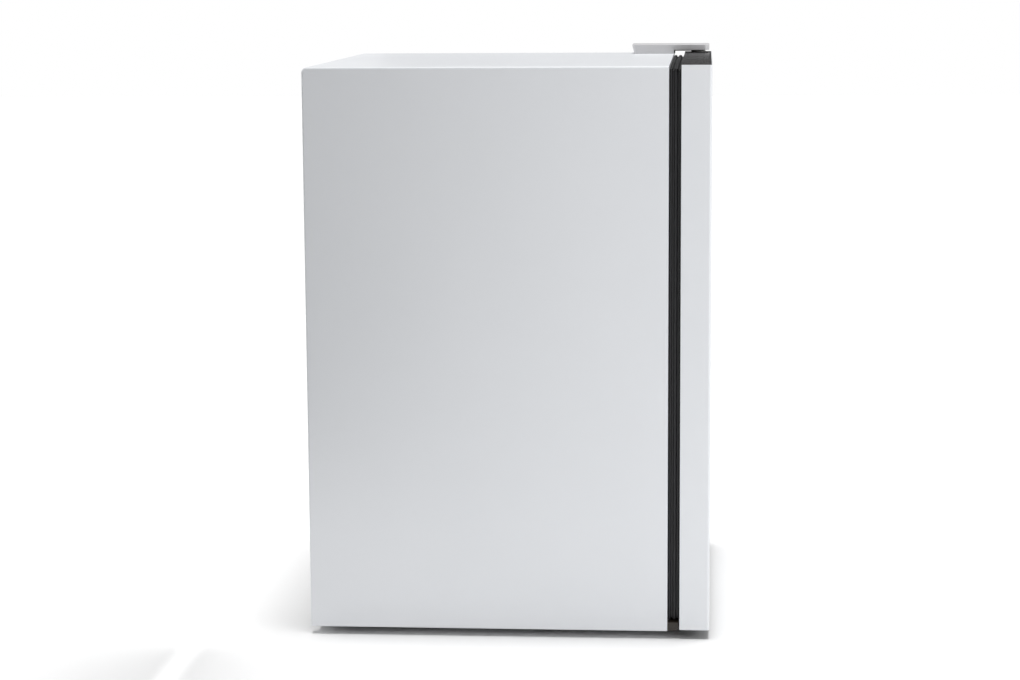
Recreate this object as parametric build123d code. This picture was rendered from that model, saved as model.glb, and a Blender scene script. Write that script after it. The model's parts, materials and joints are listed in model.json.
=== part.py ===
from build123d import *
import os

# Compact refrigerator with one right-hinged door. Millimetres. +Z up, the door faces -Y,
# +X is the right as seen from the front. The origin is on the floor, under the middle.

# --- driving dimensions -------------------------------------------------------------------

# overall sizes
WIDTH = 472.0
CABINET_DEPTH = 403.0
CABINET_HEIGHT = 630.0
DOOR_THICKNESS = 33.5
DOOR_GAP = 13.5           # between the door's back and the cabinet's front
DOOR_RISE = 1.4           # the door stands this much higher than the cabinet
FOOT_HEIGHT = 9.0

# sheet metal and plastic walls
SHEET = 0.8
LINER = 1.5
TRIM_WALL = 2.0
EDGE_RADIUS = 2.2         # bend between the sides and the top, and down the rear
REAR_RADIUS = 6.0         # bend at the top's rear edge
FRONT_FLANGE = 24.0
REAR_FLANGE = 12.0
FOOT_FLANGE = 14.0

# insulation
SIDE_WALL = 38.0
TOP_WALL = 38.0
BACK_WALL = 38.0
FLOOR_WALL = 40.0
STEP_WALL = 36.0
CABIN_RADIUS = 14.0
STEP_RADIUS = 12.0

# machine compartment under the rear of the cabin
MACHINE_DEPTH = 129.0
MACHINE_HEIGHT = 168.0

# clearances
EASE = 0.1                # between pieces that are assembled and stay
RUNNING = 0.05            # radial, where one piece turns in another
SLIDING = 1.0             # beside a shelf or tray that slides
SOFT = 0.3                # beside the door seal
CUT = 1.0                 # how far a cutting or joining solid runs past its face

# door
DOOR_FLANGE = 12.0
CAP_HEIGHT = 14.0
DYKE_OUT = 31.5           # how far the door liner reaches behind the door's back
DYKE_WIDTH = 18.0
DYKE_CLEAR = 8.0          # around the door liner, inside the cabin
POCKET_OUT = 11.5         # the bin pocket's floor, behind the door's back
DYKE_RADIUS = 10.0
DYKE_ROUND = 5.0          # along the liner's rearmost edges
POCKET_RADIUS = 6.0
DOOR_EDGE = 3.0           # bend of the door skin's upright edges

# door seal
SEAL_WIDTH = 14.0
SEAL_INSET = 12.0         # from the cabinet's sides
SEAL_TOP_INSET = 3.0
SEAL_BOTTOM_INSET = 10.4
SEAL_BASE = 1.8           # depth of the part against the door
SEAL_RIB = 4.4            # depth of the bellows between two grooves
SEAL_MAGNET = 3.6         # depth of the part that holds the magnet
SEAL_GROOVE = 2.0

# kick rail
RAIL_DOOR_GAP = 1.0
RAIL_SEAL_GAP = 0.7
RAIL_INSET = 1.5          # from the cabinet's left side
RAIL_STOP = 6.0           # short of the lower hinge
RAIL_CHAMFER = 3.0

# hinges
PIN_RADIUS = 4.0
PIN_INSET = 12.0          # pin's axis from the cabinet's side
PLATE = 3.0
PLATE_WIDTH = 44.0
PLATE_EDGE = 5.0          # hinge plates from the cabinet's side
PLATE_REACH = 47.0        # hinge plates behind the cabinet's front
PLATE_NOSE = 8.0          # hinge plates behind the door's front
BUSH_WALL = 2.5
BUSH_DEPTH = 12.5
PIN_DEPTH = 12.0
PIN_HEAD = 1.4
PIN_HEAD_OUT = 1.5
PIN_CHAMFER = 1.0
BUSH_FLANGE = 1.1
BUSH_FLANGE_OUT = 2.5     # flange beyond the sleeve
BACKING_PLATE = 4.0
BACKING_INSET = 3.0
NOSE_INSET = 14.0         # the top plate's nose is this much narrower
NOSE_RADIUS = 8.0
CRANK_FRONT = 1.0         # the top plate's crank, before and behind the cabinet's front
CRANK_BACK = 2.0

# hinge cover
COVER_FRONT_INSET = 3.0   # behind the door's front
COVER_LENGTH = 96.5
COVER_WIDTH = 50.0
COVER_SIDE_INSET = 2.0
COVER_HEIGHT = 12.0
COVER_LIFT = 4.6          # under the part over the door
COVER_WALL = 1.5
COVER_RADIUS = 6.0
COVER_ROUND = 1.2

# screws and feet
SCREW_RADIUS = 2.0
SCREW_HEAD_RADIUS = 4.2
SCREW_HEAD = 1.8
SCREW_HEAD_ROUND = 0.9
SCREW_LENGTH = 12.0
SCREW_SPREAD = 24.0       # between the two front screws of a hinge
SCREW_ROWS = (12.0, 34.0) # hinge screws behind the cabinet's front
PANEL_SCREW_RADIUS = 3.6
PANEL_SCREW_LENGTH = 6.0
PANEL_SCREW_EDGE = 2.0    # heads from the rear flange
PANEL_SCREW_END = 30.0    # from the back panel's ends
PANEL_SCREW_ROWS = 4
LOWER_SCREW_SHIFT = 4.0   # lower hinge screws, away from the cabinet's side
FOOT_RADIUS = 14.0
FOOT_INSET = 52.0         # feet from the cabinet's sides
FOOT_SETBACK = 78.0       # front feet behind the cabinet's front
FOOT_PAD = 6.5
FOOT_ROUND = 1.5
FOOT_HEX = 2.0            # height of the hexagon on top of a foot
FOOT_HEX_INSET = 4.0
STUD_RADIUS = 4.0
STUD_ROOM = 1.0
STUD_END = 4.0            # stud's tip below the socket's top
SOCKET_RADIUS = 8.0
SOCKET_DEPTH = 24.0
SOCKET_ROOF = 2.0
REAR_FOOT_RADIUS = 13.0
REAR_FOOT_SETBACK = 30.0
PEG_OUT = 4.0             # rear feet's pegs above the base plate

# cold side
SHELF_LIFT = 6.0          # lower shelf above the step
SHELF_FRONT = 98.0        # shelves behind the cabinet's front
SHELF_BACK = 8.0          # shelves in front of the cabin's back
SHELF_FRAME = 2.4         # radius of the frame wire
CROSS_WIRE = 1.8          # radius of the two wires under the others
SHELF_WIRE = 1.4          # radius of the wires from front to back
WIRE_PITCH = 15.0
RIB_OUT = 5.0
RIB_HEIGHT = 3.0
RIB_FRONT = 30.0          # ribs behind the cabinet's front
RIB_BACK = 2.0            # ribs in front of the cabin's back
EVAPORATOR_LEFT = 8.0     # from the cabin's left wall
EVAPORATOR_GAP = 14.0     # beside the thermostat's housing
EVAPORATOR_HEIGHT = 90.0
EVAPORATOR_DROP = 13.0    # below the cabin's ceiling
EVAPORATOR_FRONT = 133.0  # behind the cabinet's front
EVAPORATOR_BACK = 19.0    # in front of the cabin's back
EVAPORATOR_WALL = 1.6
EVAPORATOR_RADIUS = 6.0
HANGER_INSET = 30.0
HANGER_RADIUS = 6.0
FRAME_LIP = 4.0
FRAME_DEPTH = 12.0
FRAME_GRIP = 4.0          # over the box's front edge
FRAME_MOUTH = 3.0         # inside the box's outline
FRAME_RADIUS = 5.0
EAR_OUT = 2.0             # ears before the flap's barrel
EAR_INNER = 1.0
EAR_OUTER = 0.5
EAR_DOWN = 5.5
EAR_UP = 5.0
FLAP_THICKNESS = 2.8
FLAP_PIN = 2.5
FLAP_BARREL = 3.4
FLAP_LIP = 10.0
FLAP_CLEAR = 0.6
FLAP_SIDE_GAP = 1.6
FLAP_OVERHANG = 2.0       # below the freezer box
FLAP_PIN_OUT = 2.0
FLAP_LIP_WIDTH = 120.0
FLAP_LIP_RADIUS = 6.0
TRAY_HEIGHT = 20.0
TRAY_RADIUS = 6.0
TRAY_DROP = 6.0           # below the freezer box
TRAY_WALL = 2.0

# thermostat
CONTROL_WIDTH = 34.0
CONTROL_DEPTH = 90.0
CONTROL_HEIGHT = 92.0
CONTROL_DROP = 15.0
CONTROL_FRONT = 48.0
CONTROL_WALL = 2.0
CONTROL_RADIUS = 6.0
KNOB_RADIUS = 13.0
KNOB_LENGTH = 12.0
KNOB_SKIRT = 5.0
KNOB_GAP = 0.4
KNOB_FACE = 3.0           # in front of the shaft's end
KNOB_FIT = 0.02
GRIP_WIDTH = 7.0
GRIP_LENGTH = 22.0
GRIP_ROUND = 3.0
SHAFT_RADIUS = 3.0
SHAFT_GRIP = 12.0         # behind the housing's front
SWITCH_SIZE = (24.0, 34.0, 40.0)

# door bins
BIN_DEPTH = 70.0
BIN_WALL = 2.0
BIN_SIDE_GAP = 4.5
BIN_BACK_GAP = 0.5
BIN_RADIUS = 12.0
BIN_LIFT = 9.0            # lower bin above the pocket's foot
BIN_DROP = 58.0           # upper bin below the drip tray
LOWER_BIN_HEIGHT = 112.0
UPPER_BIN_HEIGHT = 84.0
LUG_OUT = 4.0
LUG_INSET = 4.0
LUG_DEPTH = 12.0
LUG_HEIGHT = 9.0
LUG_GAP = 0.4
BIN_EAR_HEIGHT = 12.0

# machine
COMPRESSOR_X = -10.0
COMPRESSOR_RADII = (74.0, 52.0)
COMPRESSOR_HEIGHT = 118.0
COMPRESSOR_FILLET = 27.0
COMPRESSOR_LIFT = 18.0
SEAM_LEVEL = 65.0
SEAM_OUT = 3.0
SEAM_HEIGHT = 3.0
MOUNT_SPACING = (156.0, 72.0)
MOUNT_PLATE = 2.5
MOUNT_EDGE = 12.0
MOUNT_RADIUS = 10.0
GROMMET_RADIUS = 9.5
GROMMET_NECK = 6.8
GROMMET_CAP = 3.0
GROMMET_CAP_RADIUS = 8.5
HEX_RADIUS = 5.5
BOLT_HEAD = 3.0
BOLT_REACH = 10.0
NUT_HEIGHT = 4.5
RELAY_IN = 14.0           # relay box, from the compressor's right end inwards
RELAY_OUT = 26.0
RELAY_WIDTH = 52.0
RELAY_LOW = 6.0
RELAY_HEIGHT = 56.0
RELAY_RADIUS = 5.0
TUBE_RADIUS = 3.0
COIL_RADIUS = 2.4
COIL_PITCH = 60.0
COIL_FRONT = 44.0         # coil behind the cabinet's front
COIL_BACK = 4.0           # coil in front of the cabin's back
COIL_MARGIN = 42.0        # coil above the machine compartment
COIL_DROP = 22.0          # coil below the cabin's ceiling
COIL_BEND = 24.0
COIL_TAIL = 34.0          # coil's ends below the compartment's roof
SUCTION_OFFSET = 96.0
SUCTION_BEND = 14.0
SUCTION_PORT = 80.0       # above the compressor's foot
SUCTION_BRIDGE = 112.0
SUCTION_SHIFT = 4.0       # behind the middle of the back wall
DISCHARGE_PORT = 30.0
DISCHARGE_TURN = 160.0
DISCHARGE_RISE = 20.0
DISCHARGE_LOW = 40.0
LINE_BEND = 12.0
CAPILLARY_RADIUS = 1.2
CAPILLARY_RISE = 24.0
CAPILLARY_SIDE = 26.0
CAPILLARY_BEND = 10.0
DRIER_OFFSET = 150.0
DRIER_LIFT = 55.0
DRIER_RADIUS = 8.5
DRIER_NECK = 3.0
DRIER_LENGTH = 62.0
DRIER_INLET_LOW = 30.0
GLAND_RADIUS = 6.5
GLAND_BORE = 3.6
GLAND_LENGTH = 10.0
GLAND_FLANGE = 3.0
GLAND_FLANGE_OUT = 2.5
GLAND_LIFT = 18.0
GLAND_INSET = 90.0        # from the cabinet's right side
REAR_LIP = 32.0
REAR_LIP_INSET = 6.0
PEG_RADIUS = 3.0          # rear feet's pegs and compressor bolts
VENTS = 9
VENT_PITCH = 12.0
VENT_WIDTH = 6.0
VENT_LENGTH = 44.0

# --- places that follow from them ---------------------------------------------------------

DEPTH = CABINET_DEPTH + DOOR_GAP + DOOR_THICKNESS
SIDE = WIDTH / 2
FRONT = -DEPTH / 2
BACK = DEPTH / 2
DOOR_BACK = FRONT + DOOR_THICKNESS
CABINET_FRONT = DOOR_BACK + DOOR_GAP
BOTTOM = FOOT_HEIGHT
TOP = BOTTOM + CABINET_HEIGHT
DOOR_BOTTOM = BOTTOM + DOOR_RISE
DOOR_TOP = TOP + DOOR_RISE

CABIN_SIDE = SIDE - SIDE_WALL
CABIN_BACK = BACK - BACK_WALL
CABIN_FLOOR = BOTTOM + FLOOR_WALL
CABIN_CEILING = TOP - TOP_WALL
MACHINE_FRONT = BACK - MACHINE_DEPTH
MACHINE_TOP = BOTTOM + MACHINE_HEIGHT
STEP_FRONT = MACHINE_FRONT - STEP_WALL
STEP_TOP = MACHINE_TOP + STEP_WALL

PIN_X = SIDE - PIN_INSET
PIN_Y = (FRONT + DOOR_BACK) / 2
PLATE_RIGHT = SIDE - PLATE_EDGE
PLATE_LEFT = PLATE_RIGHT - PLATE_WIDTH
BUSH_RADIUS = PIN_RADIUS + RUNNING + BUSH_WALL
BUSH_FLANGE_RADIUS = BUSH_RADIUS + BUSH_FLANGE_OUT
TOP_PLATE_BOTTOM = TOP + PLATE

FOOT_X = SIDE - FOOT_INSET
FOOT_Y = CABINET_FRONT + FOOT_SETBACK
REAR_FOOT_Y = BACK - REAR_FOOT_SETBACK
DECK = BOTTOM + SHEET     # upper face of the base plate

CONTROL_LEFT = CABIN_SIDE - CONTROL_WIDTH
CONTROL_LOW_Y = CABINET_FRONT + CONTROL_FRONT
CONTROL_TOP = CABIN_CEILING - CONTROL_DROP
KNOB_X = CABIN_SIDE - CONTROL_WIDTH / 2
KNOB_Z = CONTROL_TOP - CONTROL_HEIGHT / 2

EVAPORATOR_LOW = (
    -CABIN_SIDE + EVAPORATOR_LEFT,
    CABINET_FRONT + EVAPORATOR_FRONT,
    CABIN_CEILING - EVAPORATOR_DROP - EVAPORATOR_HEIGHT,
)
EVAPORATOR_HIGH = (
    CONTROL_LEFT - EVAPORATOR_GAP,
    CABIN_BACK - EVAPORATOR_BACK,
    EVAPORATOR_LOW[2] + EVAPORATOR_HEIGHT,
)
FLAP_Y = EVAPORATOR_LOW[1] - FRAME_DEPTH - FLAP_BARREL - FLAP_CLEAR
FLAP_Z = EVAPORATOR_HIGH[2] - FLAP_BARREL - EVAPORATOR_WALL
TRAY_BOTTOM = EVAPORATOR_LOW[2] - TRAY_DROP - TRAY_HEIGHT
LOWER_SHELF = STEP_TOP + SHELF_LIFT
UPPER_SHELF = (LOWER_SHELF + TRAY_BOTTOM) / 2

DYKE_SIDE = CABIN_SIDE - DYKE_CLEAR
DYKE_LOW = CABIN_FLOOR + DYKE_CLEAR
DYKE_HIGH = CABIN_CEILING - DYKE_CLEAR
POCKET_SIDE = DYKE_SIDE - DYKE_WIDTH
POCKET_Y = DOOR_BACK + POCKET_OUT
BINS = {
    "door_bin_upper": (TRAY_BOTTOM - BIN_DROP - UPPER_BIN_HEIGHT, UPPER_BIN_HEIGHT),
    "door_bin_lower": (DYKE_LOW + DYKE_WIDTH + BIN_LIFT, LOWER_BIN_HEIGHT),
}

COMPRESSOR_Y = MACHINE_FRONT + MACHINE_DEPTH / 2
COMPRESSOR_LOW = DECK + COMPRESSOR_LIFT
COMPRESSOR_HIGH = COMPRESSOR_LOW + COMPRESSOR_HEIGHT
SUCTION_X = COMPRESSOR_X - SUCTION_OFFSET
SUCTION_Z = (EVAPORATOR_LOW[2] + EVAPORATOR_HIGH[2]) / 2
COIL_X = SIDE - SHEET - EASE - COIL_RADIUS
COIL_START = MACHINE_TOP - COIL_TAIL
DRIER_X = COMPRESSOR_X - DRIER_OFFSET
DRIER_LOW = DECK + DRIER_LIFT
GLAND_X = SIDE - GLAND_INSET
GLAND_Z = BOTTOM + GLAND_LIFT


# --- small makers -------------------------------------------------------------------------

def block(low, high):
    """A box between two opposite corners."""
    size = [b - a for a, b in zip(low, high)]
    middle = [(a + b) / 2 for a, b in zip(low, high)]
    return Pos(*middle) * Box(*size)


def slab(half_width, y_low, y_high, z_low, z_high):
    """A box that is centred across the width."""
    return block((-half_width, y_low, z_low), (half_width, y_high, z_high))


def post(x, y, z_low, z_high, radius):
    """An upright round bar."""
    return Pos(x, y, (z_low + z_high) / 2) * Cylinder(radius, z_high - z_low)


def bar_x(y, z, x_low, x_high, radius):
    """A round bar along X."""
    return Pos((x_low + x_high) / 2, y, z) * Rot(0, 90, 0) * Cylinder(radius, x_high - x_low)


def bar_y(x, z, y_low, y_high, radius):
    """A round bar along Y."""
    return Pos(x, (y_low + y_high) / 2, z) * Rot(90, 0, 0) * Cylinder(radius, y_high - y_low)


def ring(half_width, z_low, z_high, width, y_low, y_high, inset=0.0):
    """A rectangular frame that stands in the XZ plane; inset trims its outer edge."""
    outer = slab(half_width - inset, y_low, y_high, z_low + inset, z_high - inset)
    inner = slab(half_width - width, y_low - CUT, y_high + CUT, z_low + width, z_high - width)
    return outer - inner


def tube(points, radius, bend):
    """A round tube along straight runs that are joined by arcs."""
    path = FilletPolyline(*points, radius=bend)
    start = Plane(origin=path @ 0, z_dir=path % 0)
    return sweep(start * Circle(radius), path=path)


# --- cabinet ------------------------------------------------------------------------------

def cabinet_block(grow_in, y_front, y_back):
    """The cabinet's outline, offset inwards, with its bends along the top, rear and sides."""
    body = block((-SIDE + grow_in, y_front, BOTTOM), (SIDE - grow_in, y_back, TOP - grow_in))
    rear_bend = body.edges().filter_by(Axis.X).group_by(Axis.Z)[-1].sort_by(Axis.Y)[-1:]
    body = fillet(rear_bend, REAR_RADIUS - grow_in)
    side_bends = body.edges().filter_by(Axis.Y).group_by(Axis.Z)[-1]
    return fillet(side_bends, EDGE_RADIUS - grow_in)


def cabinet_shell():
    """Sides and top in one folded sheet, with flanges at the front, the rear and the foot."""
    shell = cabinet_block(0, CABINET_FRONT, BACK)
    shell -= cabinet_block(SHEET, CABINET_FRONT + SHEET, BACK - SHEET)
    window = SIDE - FRONT_FLANGE
    shell -= slab(window, CABINET_FRONT - CUT, CABINET_FRONT + SHEET + CUT, BOTTOM - CUT,
                  TOP - FRONT_FLANGE)
    shell -= slab(SIDE - REAR_FLANGE, BACK - SHEET - CUT, BACK + CUT, BOTTOM - CUT, TOP - REAR_FLANGE)
    for side in (-1, 1):
        inner = side * (SIDE - FOOT_FLANGE)
        outer = side * (SIDE - SHEET)
        shell += block(
            (min(inner, outer), CABINET_FRONT + SHEET, BOTTOM),
            (max(inner, outer), BACK - SHEET, BOTTOM + SHEET),
        )
    for x, y in hinge_screw_places():
        shell -= post(x, y, TOP - SHEET - CUT, TOP + CUT, SCREW_RADIUS + EASE)
    return shell


def base_plate():
    """Floor of the cabinet: carries the feet, the compressor and the cord's gland."""
    half = SIDE - FOOT_FLANGE - EASE
    lip = BACK - REAR_LIP_INSET
    plate = slab(half, CABINET_FRONT + SHEET + EASE, lip, BOTTOM, DECK)
    plate += slab(half, lip - SHEET, lip, BOTTOM, BOTTOM + REAR_LIP)
    holes = [(place, STUD_RADIUS + STUD_ROOM) for place in foot_places()]
    holes += [(place, PEG_RADIUS + EASE) for place in rear_foot_places() + grommet_places()]
    holes += [(place, SCREW_RADIUS + EASE) for place in lower_screw_places()]
    for (x, y), radius in holes:
        plate -= post(x, y, BOTTOM - CUT, DECK + CUT, radius)
    for vent in range(VENTS):
        x = COMPRESSOR_X + (vent - (VENTS - 1) / 2) * VENT_PITCH
        plate -= block(
            (x - VENT_WIDTH / 2, COMPRESSOR_Y - VENT_LENGTH / 2, BOTTOM - CUT),
            (x + VENT_WIDTH / 2, COMPRESSOR_Y + VENT_LENGTH / 2, DECK + CUT),
        )
    return plate - bar_y(GLAND_X, GLAND_Z, lip - SHEET - CUT, lip + CUT, GLAND_RADIUS + EASE)


def lower_crossbar():
    """Steel bar across the front, below the door opening."""
    half = SIDE - FRONT_FLANGE - EASE
    bar = slab(half, CABINET_FRONT, CABINET_FRONT + SHEET, BOTTOM, CABIN_FLOOR - LINER - EASE)
    bar += slab(half, CABINET_FRONT, CABINET_FRONT + FOOT_FLANGE, CABIN_FLOOR - LINER - SHEET - EASE,
                CABIN_FLOOR - LINER - EASE)
    return bar


def kick_rail():
    """Dark strip under the seal that closes the gap's foot, clear of the hinge side."""
    rail = block(
        (-SIDE + RAIL_INSET, DOOR_BACK + RAIL_DOOR_GAP, BOTTOM),
        (PLATE_LEFT - RAIL_STOP, CABINET_FRONT - EASE, BOTTOM + SEAL_BOTTOM_INSET - RAIL_SEAL_GAP),
    )
    front_foot = rail.faces().sort_by(Axis.Y)[0].edges().filter_by(Axis.X).sort_by(Axis.Z)[0]
    return chamfer(front_foot, RAIL_CHAMFER)


def cabin_form(grow):
    """The cabin's space, offset outwards, with the step over the machine compartment."""
    room = slab(CABIN_SIDE + grow, CABINET_FRONT - CUT, CABIN_BACK + grow, CABIN_FLOOR - grow,
                CABIN_CEILING + grow)
    room = fillet(room.edges().filter_by(Axis.Y), CABIN_RADIUS + grow)
    step = slab(SIDE, STEP_FRONT + grow, BACK, BOTTOM, STEP_TOP - grow)
    corner = step.edges().filter_by(Axis.X).group_by(Axis.Y)[0].sort_by(Axis.Z)[-1:]
    return room - fillet(corner, STEP_RADIUS - grow)


def inner_liner():
    """Vacuum-formed lining with a front flange and a pair of ribs under each shelf."""
    liner = cabin_form(LINER)
    flange_side = SIDE - FRONT_FLANGE - EASE
    liner += slab(flange_side, CABINET_FRONT, CABINET_FRONT + LINER, CABIN_FLOOR - LINER,
                  TOP - FRONT_FLANGE - EASE)
    liner -= cabin_form(0)
    liner -= slab(SIDE, CABINET_FRONT - 2 * CUT, CABINET_FRONT, BOTTOM, TOP)
    for side in (-1, 1):
        for level in (LOWER_SHELF, UPPER_SHELF, TRAY_BOTTOM):
            near = side * (CABIN_SIDE - RIB_OUT)
            wall = side * (CABIN_SIDE + LINER / 2)
            liner += block(
                (min(near, wall), CABINET_FRONT + RIB_FRONT, level - RIB_HEIGHT),
                (max(near, wall), CABIN_BACK - RIB_BACK, level),
            )
    rear = CABIN_BACK + LINER
    return liner - bar_y(SUCTION_X, SUCTION_Z, CABIN_BACK - CUT, rear + CUT, TUBE_RADIUS + EASE)


def cabinet_foam():
    """Foam that fills the space between the lining and the steel."""
    front = CABINET_FRONT + SHEET
    foam = cabinet_block(SHEET, front, BACK - 2 * SHEET)
    foam -= slab(SIDE, front - CUT, BACK, BOTTOM - CUT, DECK)
    foam -= cabin_form(LINER)
    foam -= slab(SIDE - FRONT_FLANGE - EASE, front - CUT, CABINET_FRONT + LINER, CABIN_FLOOR - LINER,
                 TOP - FRONT_FLANGE)
    foam -= slab(SIDE - FRONT_FLANGE, front - CUT, CABINET_FRONT + FOOT_FLANGE,
                 CABIN_FLOOR - LINER - SHEET - EASE, CABIN_FLOOR - LINER)
    foam -= slab(SIDE, MACHINE_FRONT - SHEET, BACK, BOTTOM, MACHINE_TOP + SHEET)
    for side in (-1, 1):
        foam -= coil_pocket(side)
    foam -= hinge_backing(EASE)
    for x, y in hinge_screw_places():
        foam -= post(x, y, TOP - SCREW_LENGTH - CUT, TOP, SCREW_RADIUS + EASE)
    for x, y in lower_screw_places():
        foam -= post(x, y, DECK - CUT, DECK + SCREW_LENGTH, SCREW_RADIUS + EASE)
    for x, y in foot_places():
        foam -= post(x, y, DECK - CUT, DECK + SOCKET_DEPTH + EASE, SOCKET_RADIUS + EASE)
    for x, z in back_screw_places():
        foam -= bar_y(x, z, BACK - SHEET - PANEL_SCREW_LENGTH - CUT, BACK, SCREW_RADIUS + EASE)
    foam -= tube(suction_route(), TUBE_RADIUS + EASE, SUCTION_BEND)
    return foam


def back_panel():
    """Flat steel back, inside the shell's rear flange, down to the machine compartment."""
    y = BACK - SHEET
    panel = slab(SIDE, y - SHEET, y, MACHINE_TOP, TOP - SHEET - REAR_RADIUS)
    panel &= cabinet_block(SHEET + EASE, CABINET_FRONT, y)
    for x, z in back_screw_places():
        panel -= bar_y(x, z, y - SHEET - CUT, y + CUT, SCREW_RADIUS + EASE)
    return panel


def back_screw_places():
    """Screws down both sides of the back panel, just inside the shell's rear flange."""
    x = SIDE - REAR_FLANGE - PANEL_SCREW_RADIUS - PANEL_SCREW_EDGE
    low = MACHINE_TOP + PANEL_SCREW_END
    pitch = (TOP - PANEL_SCREW_END - low) / (PANEL_SCREW_ROWS - 1)
    levels = [low + pitch * row for row in range(PANEL_SCREW_ROWS)]
    return [(side * x, z) for side in (-1, 1) for z in levels]


def machine_housing():
    """Folded sheet that roofs the machine compartment and closes its front."""
    rear = BACK - 2 * SHEET - EASE
    front = slab(SIDE, MACHINE_FRONT - SHEET, MACHINE_FRONT, DECK, MACHINE_TOP + SHEET)
    roof = slab(SIDE, MACHINE_FRONT, rear, MACHINE_TOP, MACHINE_TOP + SHEET)
    housing = (front + roof) & cabinet_block(SHEET + EASE, CABINET_FRONT, rear)
    notch = COIL_RADIUS + EASE
    for side in (-1, 1):
        housing -= block(
            (side * COIL_X - notch, COMPRESSOR_Y - notch, MACHINE_TOP - CUT),
            (side * COIL_X + notch, COMPRESSOR_Y + notch, MACHINE_TOP + SHEET + CUT),
        )
    return housing - tube(suction_route(), TUBE_RADIUS + EASE, SUCTION_BEND)


# --- hinges -------------------------------------------------------------------------------

def hinge_screw_places():
    """Screws of the top hinge plate."""
    x = (PLATE_LEFT + PLATE_RIGHT) / 2
    front_row, rear_row = (CABINET_FRONT + row for row in SCREW_ROWS)
    half = SCREW_SPREAD / 2
    return [(x - half, front_row), (x + half, front_row), (x, rear_row)]


def lower_screw_places():
    """Screws of the lower hinge bracket."""
    return [(x - LOWER_SCREW_SHIFT, y) for x, y in hinge_screw_places()]


def top_hinge_plate():
    """Cranked steel plate: flat on the cabinet, raised over the door."""
    upper = TOP_PLATE_BOTTOM + PLATE
    rear = block(
        (PLATE_LEFT, CABINET_FRONT + CRANK_BACK, TOP),
        (PLATE_RIGHT, CABINET_FRONT + PLATE_REACH, TOP + PLATE),
    )
    crank = block(
        (PLATE_LEFT, CABINET_FRONT - CRANK_FRONT, TOP),
        (PLATE_RIGHT, CABINET_FRONT + CRANK_BACK, upper),
    )
    nose = block(
        (PLATE_LEFT + NOSE_INSET, FRONT + PLATE_NOSE, TOP_PLATE_BOTTOM),
        (PLATE_RIGHT, CABINET_FRONT - CRANK_FRONT, upper),
    )
    corners = nose.edges().filter_by(Axis.Z).group_by(Axis.Y)[0]
    plate = rear + crank + fillet(corners, NOSE_RADIUS)
    plate -= post(PIN_X, PIN_Y, TOP, upper + CUT, PIN_RADIUS + EASE / 2)
    for x, y in hinge_screw_places():
        plate -= post(x, y, TOP - CUT, TOP + PLATE + CUT, SCREW_RADIUS + EASE)
    return plate


def top_hinge_pin():
    """Pin that is riveted into the plate and hangs into the door's upper bush."""
    head_base = TOP_PLATE_BOTTOM + PLATE
    pin = post(PIN_X, PIN_Y, DOOR_TOP - PIN_DEPTH, head_base, PIN_RADIUS)
    tip = pin.edges().sort_by(Axis.Z)[:1]
    head = post(PIN_X, PIN_Y, head_base, head_base + PIN_HEAD, PIN_RADIUS + PIN_HEAD_OUT)
    return chamfer(tip, PIN_CHAMFER) + head


def hinge_backing(grow):
    """Steel plate in the foam that the top hinge's screws bite into."""
    top = TOP - SHEET
    y_low = CABINET_FRONT + BACKING_INSET
    y_high = CABINET_FRONT + PLATE_REACH - BACKING_INSET
    return block(
        (PLATE_LEFT - grow, y_low - grow, top - BACKING_PLATE - grow),
        (PLATE_RIGHT - BACKING_INSET + grow, y_high + grow, top),
    )


def hinge_backing_plate():
    """The backing plate with its screw holes."""
    plate = hinge_backing(0)
    for x, y in hinge_screw_places():
        plate -= post(x, y, TOP - SHEET - BACKING_PLATE - CUT, TOP, SCREW_RADIUS + EASE)
    return plate


def pan_head_screws(places, seat, up):
    """Screws against a flat face; up is 1 where they point up and -1 where they point down."""
    parts = []
    for x, y in places:
        shank = post(x, y, *sorted((seat, seat + up * SCREW_LENGTH)), SCREW_RADIUS)
        head = post(x, y, *sorted((seat, seat - up * SCREW_HEAD)), SCREW_HEAD_RADIUS)
        rim = head.edges().filter_by(GeomType.CIRCLE).sort_by(Axis.Z)[0 if up > 0 else -1]
        parts.append(shank + fillet(rim, SCREW_HEAD_ROUND))
    return Compound(children=parts)


def screws_forward(places, seat):
    """Flat-head screws in the cabinet's back, with their heads on a face at one depth."""
    parts = []
    for x, z in places:
        shank = bar_y(x, z, seat - PANEL_SCREW_LENGTH, seat, SCREW_RADIUS)
        parts.append(shank + bar_y(x, z, seat, BACK, PANEL_SCREW_RADIUS))
    return Compound(children=parts)


def cover_block(grow_in, y_front, y_back, z_low):
    """The hinge cover's outline, offset inwards."""
    right = SIDE - COVER_SIDE_INSET - grow_in
    left = SIDE - COVER_SIDE_INSET - COVER_WIDTH + grow_in
    high = TOP + COVER_HEIGHT - grow_in
    body = block((left, y_front + grow_in, z_low), (right, y_back - grow_in, high))
    return fillet(body.edges().filter_by(Axis.Z), COVER_RADIUS - grow_in)


def top_hinge_cover():
    """Moulded cover over the top hinge, open below and cut away over the door."""
    front = FRONT + COVER_FRONT_INSET
    rear = front + COVER_LENGTH
    cover = cover_block(0, front, rear, TOP)
    cover = fillet(cover.faces().sort_by(Axis.Z)[-1].edges(), COVER_ROUND)
    cover -= cover_block(COVER_WALL, front, rear, TOP - CUT)
    return cover - block((0, FRONT - CUT, TOP - CUT), (SIDE + CUT, CABINET_FRONT, TOP + COVER_LIFT))


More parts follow.
